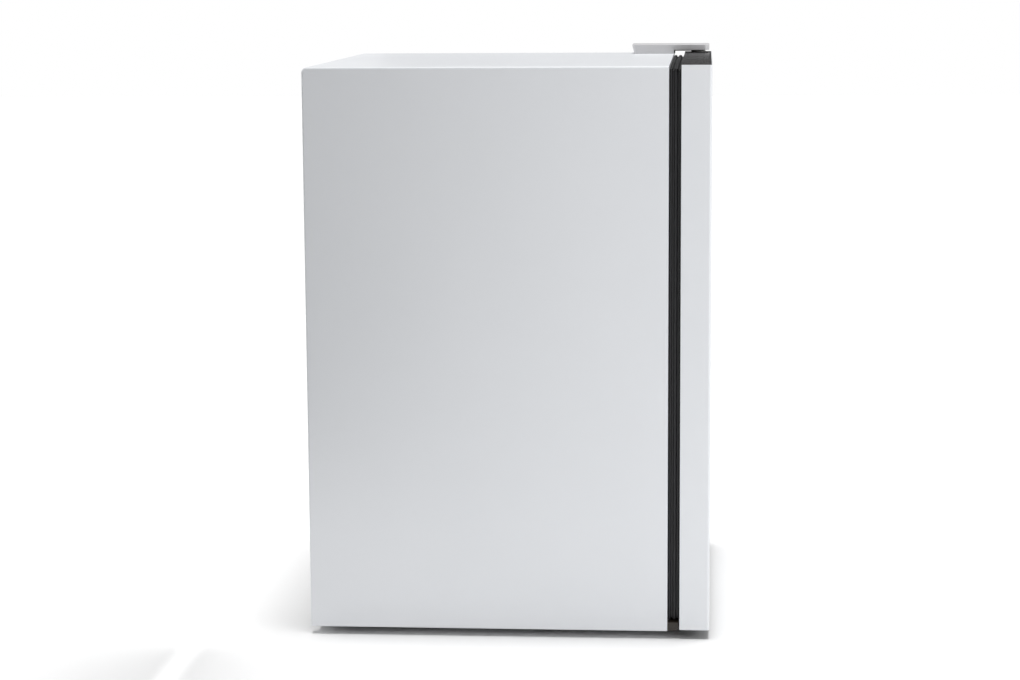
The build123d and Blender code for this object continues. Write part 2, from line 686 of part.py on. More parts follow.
def bush(flange_low, body_low):
    """Plastic bush: a sleeve with a flange at one end."""
    sleeve = post(PIN_X, PIN_Y, body_low, body_low + BUSH_DEPTH, BUSH_RADIUS)
    flange = post(PIN_X, PIN_Y, flange_low, flange_low + BUSH_FLANGE, BUSH_FLANGE_RADIUS)
    over = BUSH_FLANGE + CUT
    bore = post(PIN_X, PIN_Y, body_low - over, body_low + BUSH_DEPTH + over, PIN_RADIUS + RUNNING)
    return sleeve + flange - bore


def top_hinge_bush():
    """Bush that is pressed into the door's top cap."""
    return bush(DOOR_TOP, DOOR_TOP - BUSH_DEPTH)


def lower_hinge_bush():
    """Bush under the door; its flange carries the door's weight."""
    return bush(DOOR_BOTTOM - BUSH_FLANGE, DOOR_BOTTOM)


def lower_hinge_bracket():
    """Steel plate under the cabinet that reaches out below the door."""
    low = BOTTOM - PLATE
    plate = block(
        (PLATE_LEFT, FRONT + PLATE_NOSE, low),
        (PLATE_RIGHT, CABINET_FRONT + PLATE_REACH, BOTTOM),
    )
    plate = fillet(plate.edges().filter_by(Axis.Z).group_by(Axis.Y)[0], NOSE_RADIUS)
    plate -= post(PIN_X, PIN_Y, low - CUT, BOTTOM + CUT, PIN_RADIUS + EASE / 2)
    for x, y in lower_screw_places():
        plate -= post(x, y, low - CUT, BOTTOM + CUT, SCREW_RADIUS + EASE)
    return plate


def lower_hinge_pin():
    """Pin that stands in the bracket and carries the door."""
    seat = BOTTOM - PLATE
    pin = post(PIN_X, PIN_Y, seat, DOOR_BOTTOM + PIN_DEPTH, PIN_RADIUS)
    pin = chamfer(pin.edges().sort_by(Axis.Z)[-1:], PIN_CHAMFER)
    return pin + post(PIN_X, PIN_Y, seat - PIN_HEAD, seat, PIN_RADIUS + PIN_HEAD_OUT)


# --- feet ---------------------------------------------------------------------------------

def foot_places():
    """Centres of the two levelling feet."""
    return [(-FOOT_X, FOOT_Y), (FOOT_X, FOOT_Y)]


def rear_foot_places():
    """Centres of the two fixed rear feet."""
    return [(-FOOT_X, REAR_FOOT_Y), (FOOT_X, REAR_FOOT_Y)]


def levelling_foot(x, y):
    """Round foot with a hexagon above it and a stud that screws into its socket."""
    shoulder = FOOT_PAD - FOOT_HEX
    pad = post(x, y, 0, shoulder, FOOT_RADIUS)
    pad = fillet(pad.edges().sort_by(Axis.Z)[:1], FOOT_ROUND)
    grip = Pos(x, y, shoulder) * extrude(RegularPolygon(FOOT_RADIUS - FOOT_HEX_INSET, 6), FOOT_HEX)
    stud = post(x, y, FOOT_PAD - CUT, DECK + SOCKET_DEPTH - STUD_END, STUD_RADIUS)
    return pad + grip + stud


def foot_sockets():
    """Threaded plastic sockets for the front feet, held by the base plate and the foam."""
    parts = []
    for x, y in foot_places():
        top = DECK + SOCKET_DEPTH
        socket = post(x, y, DECK, top, SOCKET_RADIUS)
        parts.append(socket - post(x, y, DECK - CUT, top - SOCKET_ROOF, STUD_RADIUS + RUNNING))
    return Compound(children=parts)


def rear_feet():
    """Moulded rear feet, each with a peg through the base plate."""
    parts = []
    for x, y in rear_foot_places():
        pad = post(x, y, 0, BOTTOM, REAR_FOOT_RADIUS)
        pad = fillet(pad.edges().sort_by(Axis.Z)[:1], FOOT_ROUND)
        parts.append(pad + post(x, y, BOTTOM - CUT, DECK + PEG_OUT, PEG_RADIUS))
    return Compound(children=parts)


# --- inside the cabin ---------------------------------------------------------------------

def wire_shelf(level):
    """Welded wire shelf: a frame, two cross wires and wires from front to back."""
    half = CABIN_SIDE - SLIDING - SHELF_FRAME
    front = CABINET_FRONT + SHELF_FRONT + SHELF_FRAME
    rear = CABIN_BACK - SHELF_BACK - SHELF_FRAME
    z = level + SHELF_FRAME
    shelf = bar_x(front, z, -half, half, SHELF_FRAME) + bar_x(rear, z, -half, half, SHELF_FRAME)
    for x in (-half, half):
        shelf += bar_y(x, z, front, rear, SHELF_FRAME)
        for y in (front, rear):
            shelf += Pos(x, y, z) * Sphere(SHELF_FRAME)
    for share in (1 / 3, 2 / 3):
        shelf += bar_x(front + (rear - front) * share, z, -half, half, CROSS_WIRE)
    count = int(2 * half / WIRE_PITCH) - 1
    gap = 2 * half / (count + 1)
    wires = [
        bar_y(-half + gap * (i + 1), z + SHELF_FRAME - SHELF_WIRE, front, rear, SHELF_WIRE)
        for i in range(count)
    ]
    return shelf.fuse(*wires)


def evaporator_box():
    """Aluminium box of the freezer compartment, open at the front."""
    low, high = EVAPORATOR_LOW, EVAPORATOR_HIGH
    box = block(low, high)
    box = fillet(box.edges().filter_by(Axis.Y), EVAPORATOR_RADIUS)
    wall = EVAPORATOR_WALL
    room = block(
        (low[0] + wall, low[1] - CUT, low[2] + wall),
        (high[0] - wall, high[1] - wall, high[2] - wall),
    )
    return box - fillet(room.edges().filter_by(Axis.Y), EVAPORATOR_RADIUS - wall)


def evaporator_hangers():
    """Four plastic spacers with screws that hang the freezer box from the ceiling."""
    low, high = EVAPORATOR_LOW, EVAPORATOR_HIGH
    parts = []
    for x in (low[0] + HANGER_INSET, high[0] - HANGER_INSET):
        for y in (low[1] + HANGER_INSET, high[1] - HANGER_INSET):
            parts.append(post(x, y, high[2], CABIN_CEILING, HANGER_RADIUS))
    return Compound(children=parts)


def freezer_frame():
    """Plastic frame round the freezer box's mouth, with two ears for the flap's pins."""
    low, high = EVAPORATOR_LOW, EVAPORATOR_HIGH
    front, rear = low[1] - FRAME_DEPTH, low[1] + FRAME_GRIP
    lip, mouth = FRAME_LIP, FRAME_MOUTH
    frame = block((low[0] - lip, front, low[2] - lip), (high[0] + lip, rear, high[2] + lip))
    frame = fillet(frame.edges().filter_by(Axis.Y), FRAME_RADIUS)
    frame -= block(
        (low[0] + mouth, front - CUT, low[2] + mouth),
        (high[0] - mouth, rear + CUT, high[2] - mouth),
    )
    frame -= block(
        (low[0] - EASE, low[1] - EASE, low[2] - EASE),
        (high[0] + EASE, rear + CUT, high[2] + EASE),
    )
    reach = FLAP_Y - FLAP_BARREL - EAR_OUT
    for edge, side in ((low[0], -1), (high[0], 1)):
        x_low, x_high = sorted((edge - side * EAR_INNER, edge + side * (lip - EAR_OUTER)))
        ear = block((x_low, reach, FLAP_Z - EAR_DOWN), (x_high, front + CUT, FLAP_Z + EAR_UP))
        frame += ear - bar_x(FLAP_Y, FLAP_Z, x_low - CUT, x_high + CUT, FLAP_PIN + RUNNING)
    return frame


def freezer_flap():
    """Clear flap in front of the freezer box: a panel, a barrel with pins and a pull lip."""
    low, high = EVAPORATOR_LOW, EVAPORATOR_HIGH
    x_low, x_high = low[0] + FLAP_SIDE_GAP, high[0] - FLAP_SIDE_GAP
    bottom = low[2] - FLAP_OVERHANG
    face = FLAP_Y - FLAP_THICKNESS / 2
    panel = block((x_low, face, bottom), (x_high, face + FLAP_THICKNESS, FLAP_Z))
    barrel = bar_x(FLAP_Y, FLAP_Z, x_low, x_high, FLAP_BARREL)
    pins = bar_x(FLAP_Y, FLAP_Z, low[0] - FLAP_PIN_OUT, high[0] + FLAP_PIN_OUT, FLAP_PIN)
    middle = (x_low + x_high) / 2
    half = FLAP_LIP_WIDTH / 2
    lip = block(
        (middle - half, face - FLAP_LIP, bottom),
        (middle + half, face + CUT, bottom + FLAP_THICKNESS),
    )
    corners = lip.edges().filter_by(Axis.Z).group_by(Axis.Y)[0]
    return panel + barrel + pins + fillet(corners, FLAP_LIP_RADIUS)


def drip_tray():
    """Tray under the freezer box that slides on the lining's upper ribs."""
    half = CABIN_SIDE - SLIDING
    front = EVAPORATOR_LOW[1] - FRAME_DEPTH
    rear = CABIN_BACK - SHELF_BACK
    tray = slab(half, front, rear, TRAY_BOTTOM, TRAY_BOTTOM + TRAY_HEIGHT)
    tray = fillet(tray.edges().filter_by(Axis.Z), TRAY_RADIUS)
    room = slab(half - TRAY_WALL, front + TRAY_WALL, rear - TRAY_WALL, TRAY_BOTTOM + TRAY_WALL,
                TRAY_BOTTOM + TRAY_HEIGHT + CUT)
    return tray - fillet(room.edges().filter_by(Axis.Z), TRAY_RADIUS - TRAY_WALL)


def thermostat_housing():
    """Moulded box on the right wall that holds the thermostat, with its knob in front."""
    low = (CONTROL_LEFT, CONTROL_LOW_Y, CONTROL_TOP - CONTROL_HEIGHT)
    high = (CABIN_SIDE, CONTROL_LOW_Y + CONTROL_DEPTH, CONTROL_TOP)
    box = block(low, high)
    box = fillet(box.edges().group_by(Axis.X)[0], CONTROL_RADIUS)
    wall = CONTROL_WALL
    box -= block(
        (low[0] + wall, low[1] + wall, low[2] + wall),
        (high[0] + CUT, high[1] - wall, high[2] - wall),
    )
    return box - bar_y(KNOB_X, KNOB_Z, low[1] - CUT, low[1] + wall + CUT, SHAFT_RADIUS + RUNNING)


def thermostat_switch():
    """Thermostat body against the back of the housing's front."""
    width, length, height = SWITCH_SIZE
    y = CONTROL_LOW_Y + CONTROL_WALL
    body = Pos(KNOB_X, y + length / 2, KNOB_Z) * Box(width, length, height)
    return body - bar_y(KNOB_X, KNOB_Z, y - CUT, CONTROL_LOW_Y + SHAFT_GRIP + CUT,
                        SHAFT_RADIUS + RUNNING)


def thermostat_shaft():
    """Shaft between the knob and the thermostat."""
    front = CONTROL_LOW_Y - KNOB_LENGTH + KNOB_FACE
    return bar_y(KNOB_X, KNOB_Z, front, CONTROL_LOW_Y + SHAFT_GRIP, SHAFT_RADIUS)


def thermostat_knob():
    """Round knob with a raised grip across its face."""
    seat = CONTROL_LOW_Y - KNOB_GAP
    skirt = bar_y(KNOB_X, KNOB_Z, seat - KNOB_SKIRT, seat, KNOB_RADIUS)
    grip = block(
        (KNOB_X - GRIP_WIDTH / 2, seat - KNOB_LENGTH, KNOB_Z - GRIP_LENGTH / 2),
        (KNOB_X + GRIP_WIDTH / 2, seat - KNOB_SKIRT, KNOB_Z + GRIP_LENGTH / 2),
    )
    grip = fillet(grip.edges().filter_by(Axis.Y), GRIP_ROUND)
    end = CONTROL_LOW_Y - KNOB_LENGTH + KNOB_FACE - EASE
    return skirt + grip - bar_y(KNOB_X, KNOB_Z, end, seat + CUT, SHAFT_RADIUS + KNOB_FIT)


# --- machine compartment ------------------------------------------------------------------

def compressor_form(grow):
    """Oval pressed shell with domed ends."""
    x_radius, y_radius = COMPRESSOR_RADII
    oval = Ellipse(x_radius + grow, y_radius + grow)
    body = Pos(COMPRESSOR_X, COMPRESSOR_Y, COMPRESSOR_LOW) * extrude(oval, COMPRESSOR_HEIGHT)
    ends = body.edges().group_by(Axis.Z)
    return fillet(ends[0] + ends[-1], COMPRESSOR_FILLET)


def compressor():
    """Hermetic compressor with its weld seam."""
    x_radius, y_radius = COMPRESSOR_RADII
    oval = Ellipse(x_radius + SEAM_OUT, y_radius + SEAM_OUT)
    place = Pos(COMPRESSOR_X, COMPRESSOR_Y, COMPRESSOR_LOW + SEAM_LEVEL)
    return compressor_form(0) + place * extrude(oval, SEAM_HEIGHT)


def grommet_places():
    """Centres of the compressor's four mounts."""
    half_x, half_y = MOUNT_SPACING[0] / 2, MOUNT_SPACING[1] / 2
    return [
        (COMPRESSOR_X + a * half_x, COMPRESSOR_Y + b * half_y) for a in (-1, 1) for b in (-1, 1)
    ]


def compressor_plate():
    """Mounting plate that is welded under the compressor."""
    half_x, half_y = (spacing / 2 + MOUNT_EDGE for spacing in MOUNT_SPACING)
    low = COMPRESSOR_LOW - MOUNT_PLATE
    plate = block(
        (COMPRESSOR_X - half_x, COMPRESSOR_Y - half_y, low),
        (COMPRESSOR_X + half_x, COMPRESSOR_Y + half_y, COMPRESSOR_LOW),
    )
    plate = fillet(plate.edges().filter_by(Axis.Z), MOUNT_RADIUS)
    for x, y in grommet_places():
        plate -= post(x, y, low - CUT, COMPRESSOR_LOW + CUT, GROMMET_NECK + EASE)
    return plate


def compressor_grommets():
    """Rubber mounts between the base plate and the mounting plate."""
    low = COMPRESSOR_LOW - MOUNT_PLATE
    top = COMPRESSOR_LOW + GROMMET_CAP
    parts = []
    for x, y in grommet_places():
        body = post(x, y, DECK, low, GROMMET_RADIUS) + post(x, y, low, COMPRESSOR_LOW, GROMMET_NECK)
        body += post(x, y, COMPRESSOR_LOW, top, GROMMET_CAP_RADIUS)
        parts.append(body - post(x, y, DECK - CUT, top + CUT, PEG_RADIUS + EASE))
    return Compound(children=parts)


def compressor_bolts():
    """Bolts up through the base plate and the mounts, each with a nut."""
    parts = []
    for x, y in grommet_places():
        head = Pos(x, y, BOTTOM - BOLT_HEAD) * extrude(RegularPolygon(HEX_RADIUS, 6), BOLT_HEAD)
        shank = post(x, y, BOTTOM - CUT, COMPRESSOR_LOW + BOLT_REACH, PEG_RADIUS)
        nut_seat = COMPRESSOR_LOW + GROMMET_CAP
        nut = Pos(x, y, nut_seat) * extrude(RegularPolygon(HEX_RADIUS, 6), NUT_HEIGHT)
        parts.append(head + shank + nut)
    return Compound(children=parts)


def relay_box():
    """Terminal and relay cover on the compressor's right side."""
    x = COMPRESSOR_X + COMPRESSOR_RADII[0]
    low = COMPRESSOR_LOW + RELAY_LOW
    box = block(
        (x - RELAY_IN, COMPRESSOR_Y - RELAY_WIDTH / 2, low),
        (x + RELAY_OUT, COMPRESSOR_Y + RELAY_WIDTH / 2, low + RELAY_HEIGHT),
    )
    box = fillet(box.edges().filter_by(Axis.Z).group_by(Axis.X)[-1], RELAY_RADIUS)
    return box - compressor_form(EASE)


def coil_route(side):
    """Serpentine under one side panel, from the machine compartment upwards."""
    x = side * COIL_X
    ends = (CABINET_FRONT + COIL_FRONT, CABIN_BACK - COIL_BACK)
    level = MACHINE_TOP + COIL_MARGIN
    height = CABIN_CEILING - COIL_DROP - level
    runs = round(height / COIL_PITCH)
    pitch = height / runs
    points = [(x, COMPRESSOR_Y, COIL_START), (x, COMPRESSOR_Y, level)]
    for run in range(runs):
        points.append((x, ends[run % 2], level))
        level += pitch
        points.append((x, ends[run % 2], level))
    points.append((x, sum(ends) / 2, level))
    return points


def wall_coil(side):
    """Condenser tube bonded inside one side panel."""
    return tube(coil_route(side), COIL_RADIUS, COIL_BEND)


def coil_pocket(side):
    """The tube's groove in the foam."""
    return tube(coil_route(side), COIL_RADIUS + EASE, COIL_BEND)


def suction_route():
    """From the compressor up behind the lining and forward to the freezer box."""
    port = COMPRESSOR_LOW + SUCTION_PORT
    bridge = COMPRESSOR_LOW + SUCTION_BRIDGE
    rear = BACK - BACK_WALL / 2 + SUCTION_SHIFT
    return [
        (COMPRESSOR_X - COMPRESSOR_RADII[0], COMPRESSOR_Y, port),
        (SUCTION_X, COMPRESSOR_Y, port),
        (SUCTION_X, COMPRESSOR_Y, bridge),
        (SUCTION_X, rear, bridge),
        (SUCTION_X, rear, SUCTION_Z),
        (SUCTION_X, EVAPORATOR_HIGH[1], SUCTION_Z),
    ]


def suction_line():
    """Copper return line."""
    return tube(suction_route(), TUBE_RADIUS, SUCTION_BEND)


def discharge_line():
    """Copper line from the compressor's top to the right-hand coil."""
    x = COMPRESSOR_X + DISCHARGE_PORT
    turn = COMPRESSOR_X + DISCHARGE_TURN
    low = DECK + DISCHARGE_LOW
    high = COMPRESSOR_HIGH + DISCHARGE_RISE
    points = [
        (x, COMPRESSOR_Y, COMPRESSOR_HIGH),
        (x, COMPRESSOR_Y, high),
        (turn, COMPRESSOR_Y, high),
        (turn, COMPRESSOR_Y, low),
        (COIL_X, COMPRESSOR_Y, low),
        (COIL_X, COMPRESSOR_Y, COIL_START),
    ]
    return tube(points, COIL_RADIUS, LINE_BEND)


def filter_drier():
    """Copper drier between the left-hand coil and the capillary."""
    body = post(DRIER_X, COMPRESSOR_Y, DRIER_LOW, DRIER_LOW + DRIER_LENGTH, DRIER_RADIUS)
    ends = body.edges().group_by(Axis.Z)
    return fillet(ends[0] + ends[-1], DRIER_RADIUS - DRIER_NECK)


def drier_inlet_line():
    """Line from the left-hand coil down and up into the drier."""
    low = DECK + DRIER_INLET_LOW
    points = [
        (-COIL_X, COMPRESSOR_Y, COIL_START),
        (-COIL_X, COMPRESSOR_Y, low),
        (DRIER_X, COMPRESSOR_Y, low),
        (DRIER_X, COMPRESSOR_Y, DRIER_LOW),
    ]
    return tube(points, COIL_RADIUS, LINE_BEND)


def capillary_line():
    """Thin line from the drier up to the compartment's roof."""
    top = DRIER_LOW + DRIER_LENGTH
    high = top + CAPILLARY_RISE
    x = DRIER_X + CAPILLARY_SIDE
    points = [
        (DRIER_X, COMPRESSOR_Y, top),
        (DRIER_X, COMPRESSOR_Y, high),
        (x, COMPRESSOR_Y, high),
        (x, COMPRESSOR_Y, MACHINE_TOP),
    ]
    return tube(points, CAPILLARY_RADIUS, CAPILLARY_BEND)


def cord_gland():
    """Moulded gland in the base plate's rear lip where the mains cord would enter."""
    lip = BACK - REAR_LIP_INSET
    outer = lip + GLAND_FLANGE
    inner = outer - GLAND_LENGTH
    body = bar_y(GLAND_X, GLAND_Z, inner, lip, GLAND_RADIUS)
    body += bar_y(GLAND_X, GLAND_Z, lip, outer, GLAND_RADIUS + GLAND_FLANGE_OUT)
    return body - bar_y(GLAND_X, GLAND_Z, inner - CUT, outer + CUT, GLAND_BORE)


# --- door ---------------------------------------------------------------------------------

def door_block(grow_in, y_back, z_low, z_high):
    """The door's outline with its bent upright edges, offset inwards."""
    body = slab(SIDE - grow_in, FRONT + grow_in, y_back, z_low, z_high)
    return fillet(body.edges().filter_by(Axis.Z).group_by(Axis.Y)[0], DOOR_EDGE - grow_in)


def door_skin():
    """Painted sheet: front and both sides, with a narrow return at the back."""
    cap_low, cap_high = DOOR_BOTTOM + CAP_HEIGHT, DOOR_TOP - CAP_HEIGHT
    skin = door_block(0, DOOR_BACK, DOOR_BOTTOM, DOOR_TOP)
    behind = DOOR_BACK + CUT
    skin -= door_block(SHEET, DOOR_BACK - SHEET, DOOR_BOTTOM - CUT, DOOR_TOP + CUT)
    skin -= slab(SIDE - DOOR_FLANGE, DOOR_BACK - SHEET - CUT, behind, cap_low, cap_high)
    for low, high in ((DOOR_BOTTOM - CUT, cap_low), (cap_high, DOOR_TOP + CUT)):
        skin -= slab(SIDE - SHEET, DOOR_BACK - SHEET - CUT, behind, low, high)
    return skin


def door_cap(z_low, z_high, face):
    """End cap: a moulded tray, its closed face at one end, with a boss for the hinge bush."""
    inset = SHEET + EASE
    cap = door_block(inset, DOOR_BACK, z_low, z_high)
    open_low = z_low + TRIM_WALL if face == "low" else z_low - CUT
    open_high = z_high + CUT if face == "low" else z_high - TRIM_WALL
    cap -= door_block(inset + TRIM_WALL, DOOR_BACK - TRIM_WALL, open_low, open_high)
    cap += post(PIN_X, PIN_Y, z_low, z_high, BUSH_RADIUS + EASE + TRIM_WALL)
    return cap


def door_top_cap():
    """Upper end cap."""
    cap = door_cap(DOOR_TOP - CAP_HEIGHT, DOOR_TOP, "high")
    seat = DOOR_TOP - BUSH_DEPTH - EASE
    return cap - post(PIN_X, PIN_Y, seat, DOOR_TOP + CUT, BUSH_RADIUS + EASE)


def door_bottom_cap():
    """Lower end cap."""
    cap = door_cap(DOOR_BOTTOM, DOOR_BOTTOM + CAP_HEIGHT, "low")
    seat = DOOR_BOTTOM + BUSH_DEPTH + EASE
    return cap - post(PIN_X, PIN_Y, DOOR_BOTTOM - CUT, seat, BUSH_RADIUS + EASE)


def dyke_form(grow_in):
    """Raised frame and bin pocket of the door liner, offset into the door."""
    low = DOOR_BACK - LINER - (CUT if grow_in else 0)
    high = DOOR_BACK + DYKE_OUT - grow_in
    frame = slab(DYKE_SIDE - grow_in, low, high, DYKE_LOW + grow_in, DYKE_HIGH - grow_in)
    frame = fillet(frame.edges().filter_by(Axis.Y), DYKE_RADIUS - grow_in)
    frame = fillet(frame.faces().sort_by(Axis.Y)[-1].edges(), DYKE_ROUND - grow_in)
    pocket = slab(
        POCKET_SIDE + grow_in, POCKET_Y - grow_in, high + CUT,
        DYKE_LOW + DYKE_WIDTH - grow_in, DYKE_HIGH - DYKE_WIDTH + grow_in,
    )
    return frame - fillet(pocket.edges().filter_by(Axis.Y), POCKET_RADIUS + grow_in)


def door_liner():
    """Formed inner skin of the door, with two lugs on each side for each bin."""
    liner = slab(
        SIDE - DOOR_FLANGE - EASE, DOOR_BACK - LINER, DOOR_BACK,
        DOOR_BOTTOM + CAP_HEIGHT + EASE, DOOR_TOP - CAP_HEIGHT - EASE,
    )
    liner += dyke_form(0)
    liner -= dyke_form(LINER)
    for low, height in BINS.values():
        top = low + height / 2
        for side in (-1, 1):
            x_low, x_high = sorted((side * (POCKET_SIDE - LUG_OUT), side * (POCKET_SIDE + LINER / 2)))
            liner += block((x_low, POCKET_Y + LUG_INSET, top - LUG_HEIGHT),
                           (x_high, POCKET_Y + LUG_INSET + LUG_DEPTH, top))
    return liner


def door_foam():
    """Foam between the door's skin, caps and liner."""
    low, high = DOOR_BOTTOM + CAP_HEIGHT + EASE, DOOR_TOP - CAP_HEIGHT - EASE
    foam = door_block(SHEET, DOOR_BACK - LINER, low, high)
    return foam + (dyke_form(LINER) & slab(SIDE, FRONT, BACK, BOTTOM, TOP))


def door_seal():
    """Magnetic seal: a base, a bellows and a magnet pocket with grooves between them."""
    half = SIDE - SEAL_INSET
    low, high = BOTTOM + SEAL_BOTTOM_INSET, TOP - SEAL_TOP_INSET
    face = CABINET_FRONT - SOFT
    groove = (face - DOOR_BACK - SEAL_BASE - SEAL_RIB - SEAL_MAGNET) / 2
    rib = DOOR_BACK + SEAL_BASE + groove
    seal = ring(half, low, high, SEAL_WIDTH, DOOR_BACK, face, SEAL_GROOVE)
    seal += ring(half, low, high, SEAL_WIDTH, DOOR_BACK, DOOR_BACK + SEAL_BASE)
    seal += ring(half, low, high, SEAL_WIDTH, rib, rib + SEAL_RIB)
    return seal + ring(half, low, high, SEAL_WIDTH, face - SEAL_MAGNET, face)


def door_bin(low, height):
    """Open-topped bin with an ear at each end that hangs on a lug of the liner."""
    half = POCKET_SIDE - BIN_SIDE_GAP
    rear = POCKET_Y + BIN_BACK_GAP
    tray = slab(half, rear, rear + BIN_DEPTH, low, low + height)
    tray = fillet(tray.edges().filter_by(Axis.Z).group_by(Axis.Y)[-1], BIN_RADIUS)
    room = slab(half - BIN_WALL, rear + BIN_WALL, rear + BIN_DEPTH - BIN_WALL, low + BIN_WALL,
                low + height + CUT)
    tray -= fillet(room.edges().filter_by(Axis.Z).group_by(Axis.Y)[-1], BIN_RADIUS - BIN_WALL)
    seat = low + height / 2 + EASE
    for side in (-1, 1):
        x_low, x_high = sorted((side * (half - BIN_WALL / 2), side * (POCKET_SIDE - LUG_GAP)))
        tray += block((x_low, POCKET_Y + LUG_INSET, seat),
                      (x_high, POCKET_Y + LUG_INSET + LUG_DEPTH, seat + BIN_EAR_HEIGHT))
    return tray


# --- the parts ----------------------------------------------------------------------------

os.makedirs("parts", exist_ok=True)

PARTS = {
    "cabinet_shell": cabinet_shell(),
    "base_plate": base_plate(),
    "lower_crossbar": lower_crossbar(),
    "kick_rail": kick_rail(),
    "inner_liner": inner_liner(),
    "cabinet_foam": cabinet_foam(),
    "back_panel": back_panel(),
    "back_panel_screws": screws_forward(back_screw_places(), BACK - SHEET),
    "machine_housing": machine_housing(),
    "top_hinge_plate": top_hinge_plate(),
    "top_hinge_pin": top_hinge_pin(),
    "hinge_backing_plate": hinge_backing_plate(),
    "top_hinge_screws": pan_head_screws(hinge_screw_places(), TOP + PLATE, -1),
    "top_hinge_cover": top_hinge_cover(),
    "top_hinge_bush": top_hinge_bush(),
    "lower_hinge_bush": lower_hinge_bush(),
    "lower_hinge_bracket": lower_hinge_bracket(),
    "lower_hinge_pin": lower_hinge_pin(),
    "lower_hinge_screws": pan_head_screws(lower_screw_places(), BOTTOM - PLATE, 1),
    "levelling_foot_left": levelling_foot(*foot_places()[0]),
    "levelling_foot_right": levelling_foot(*foot_places()[1]),
    "foot_sockets": foot_sockets(),
    "rear_feet": rear_feet(),
    "shelf_lower": wire_shelf(LOWER_SHELF),
    "shelf_upper": wire_shelf(UPPER_SHELF),
    "evaporator_box": evaporator_box(),
    "evaporator_hangers": evaporator_hangers(),
    "freezer_frame": freezer_frame(),
    "freezer_flap": freezer_flap(),
    "drip_tray": drip_tray(),
    "thermostat_housing": thermostat_housing(),
    "thermostat_switch": thermostat_switch(),
    "thermostat_shaft": thermostat_shaft(),
    "thermostat_knob": thermostat_knob(),
    "compressor": compressor(),
    "compressor_plate": compressor_plate(),
    "compressor_grommets": compressor_grommets(),
    "compressor_bolts": compressor_bolts(),
    "relay_box": relay_box(),
    "wall_coil_left": wall_coil(-1),
    "wall_coil_right": wall_coil(1),
    "suction_line": suction_line(),
    "discharge_line": discharge_line(),
    "filter_drier": filter_drier(),
    "drier_inlet_line": drier_inlet_line(),
    "capillary_line": capillary_line(),
    "cord_gland": cord_gland(),
    "door_skin": door_skin(),
    "door_top_cap": door_top_cap(),
    "door_bottom_cap": door_bottom_cap(),
    "door_liner": door_liner(),
    "door_foam": door_foam(),
    "door_seal": door_seal(),
}
for bin_name, (bin_low, bin_height) in BINS.items():
    PARTS[bin_name] = door_bin(bin_low, bin_height)

for node, part in PARTS.items():
    export_step(part, f"parts/{node}.step")
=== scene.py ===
import json
import math

import bmesh
import bpy
from mathutils import Matrix, Vector


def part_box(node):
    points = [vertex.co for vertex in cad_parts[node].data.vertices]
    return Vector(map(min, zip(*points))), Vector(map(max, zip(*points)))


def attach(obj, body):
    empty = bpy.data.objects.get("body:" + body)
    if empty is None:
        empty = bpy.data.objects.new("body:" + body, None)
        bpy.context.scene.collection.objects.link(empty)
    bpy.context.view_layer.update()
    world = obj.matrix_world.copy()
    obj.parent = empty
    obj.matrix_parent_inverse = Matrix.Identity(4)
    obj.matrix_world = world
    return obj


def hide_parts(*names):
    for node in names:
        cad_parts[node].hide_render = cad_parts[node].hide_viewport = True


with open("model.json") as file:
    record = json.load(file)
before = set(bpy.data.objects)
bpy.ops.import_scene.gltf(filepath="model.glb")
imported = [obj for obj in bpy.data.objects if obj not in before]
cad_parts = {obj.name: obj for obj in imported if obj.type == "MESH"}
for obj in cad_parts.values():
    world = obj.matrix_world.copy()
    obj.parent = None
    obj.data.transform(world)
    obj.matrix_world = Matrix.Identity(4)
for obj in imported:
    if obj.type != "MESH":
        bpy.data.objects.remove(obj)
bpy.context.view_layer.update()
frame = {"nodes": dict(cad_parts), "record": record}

# ------------------------------------------------------------------------------------------
# Studio. The fridge stands on a plain pale floor, seen from its left side and from a little
# above its top. A sun and a softbox light it from overhead and a tall softbox from the front
# left, with one fill at the front right and another behind it.

scene = bpy.context.scene
eye = Vector((-2.9284, -0.2179, 0.7396))
pitch, yaw, roll = 0.14758, 0.07956, -0.00621
sensor, focal = 36.0, 87.04
forward = Vector((math.cos(pitch) * math.cos(yaw), math.cos(pitch) * math.sin(yaw), -math.sin(pitch)))

camera = bpy.data.objects.new("camera", bpy.data.cameras.new("camera"))
scene.collection.objects.link(camera)
camera.data.sensor_width = sensor
camera.data.lens = focal
camera.rotation_mode = "QUATERNION"
camera.location = eye
camera.rotation_quaternion = forward.to_track_quat("-Z", "Y") @ Matrix.Rotation(roll, 4, "Z").to_quaternion()
scene.camera = camera
scene.view_settings.view_transform = "Standard"


def softbox(name, place, aim, width, height, watts, tint):
    """A rectangular area light that looks at a point."""
    light = bpy.data.lights.new(name, "AREA")
    light.shape = "RECTANGLE"
    light.size, light.size_y = width, height
    light.energy = watts
    light.color = tint
    lamp = bpy.data.objects.new(name, light)
    scene.collection.objects.link(lamp)
    lamp.location = place
    lamp.rotation_euler = (Vector(aim) - Vector(place)).to_track_quat("-Z", "Y").to_euler()


softbox("overhead", (0.0, -0.6, 2.2), (0.0, -0.2, 0.6), 1.4, 1.4, 4.0, (1.0, 1.0, 1.0))
softbox("front_key", (-1.3, -1.4, 0.4), (-0.236, -0.1, 0.3), 0.8, 1.2, 8.5, (0.98, 0.99, 1.0))
softbox("front_fill", (0.9, -2.6, 1.2), (0.0, -0.2, 0.3), 1.6, 1.6, 4.0, (1.0, 1.0, 1.0))
softbox("rear_fill", (0.6, 2.8, 1.4), (0.0, 0.2, 0.3), 1.8, 1.6, 14.0, (1.0, 1.0, 1.0))

sky_sun = bpy.data.lights.new("ceiling_light", "SUN")
sky_sun.energy = 2.7
sky_sun.angle = math.radians(20)
sun_lamp = bpy.data.objects.new("ceiling_light", sky_sun)
scene.collection.objects.link(sun_lamp)
sun_lamp.visible_glossy = False

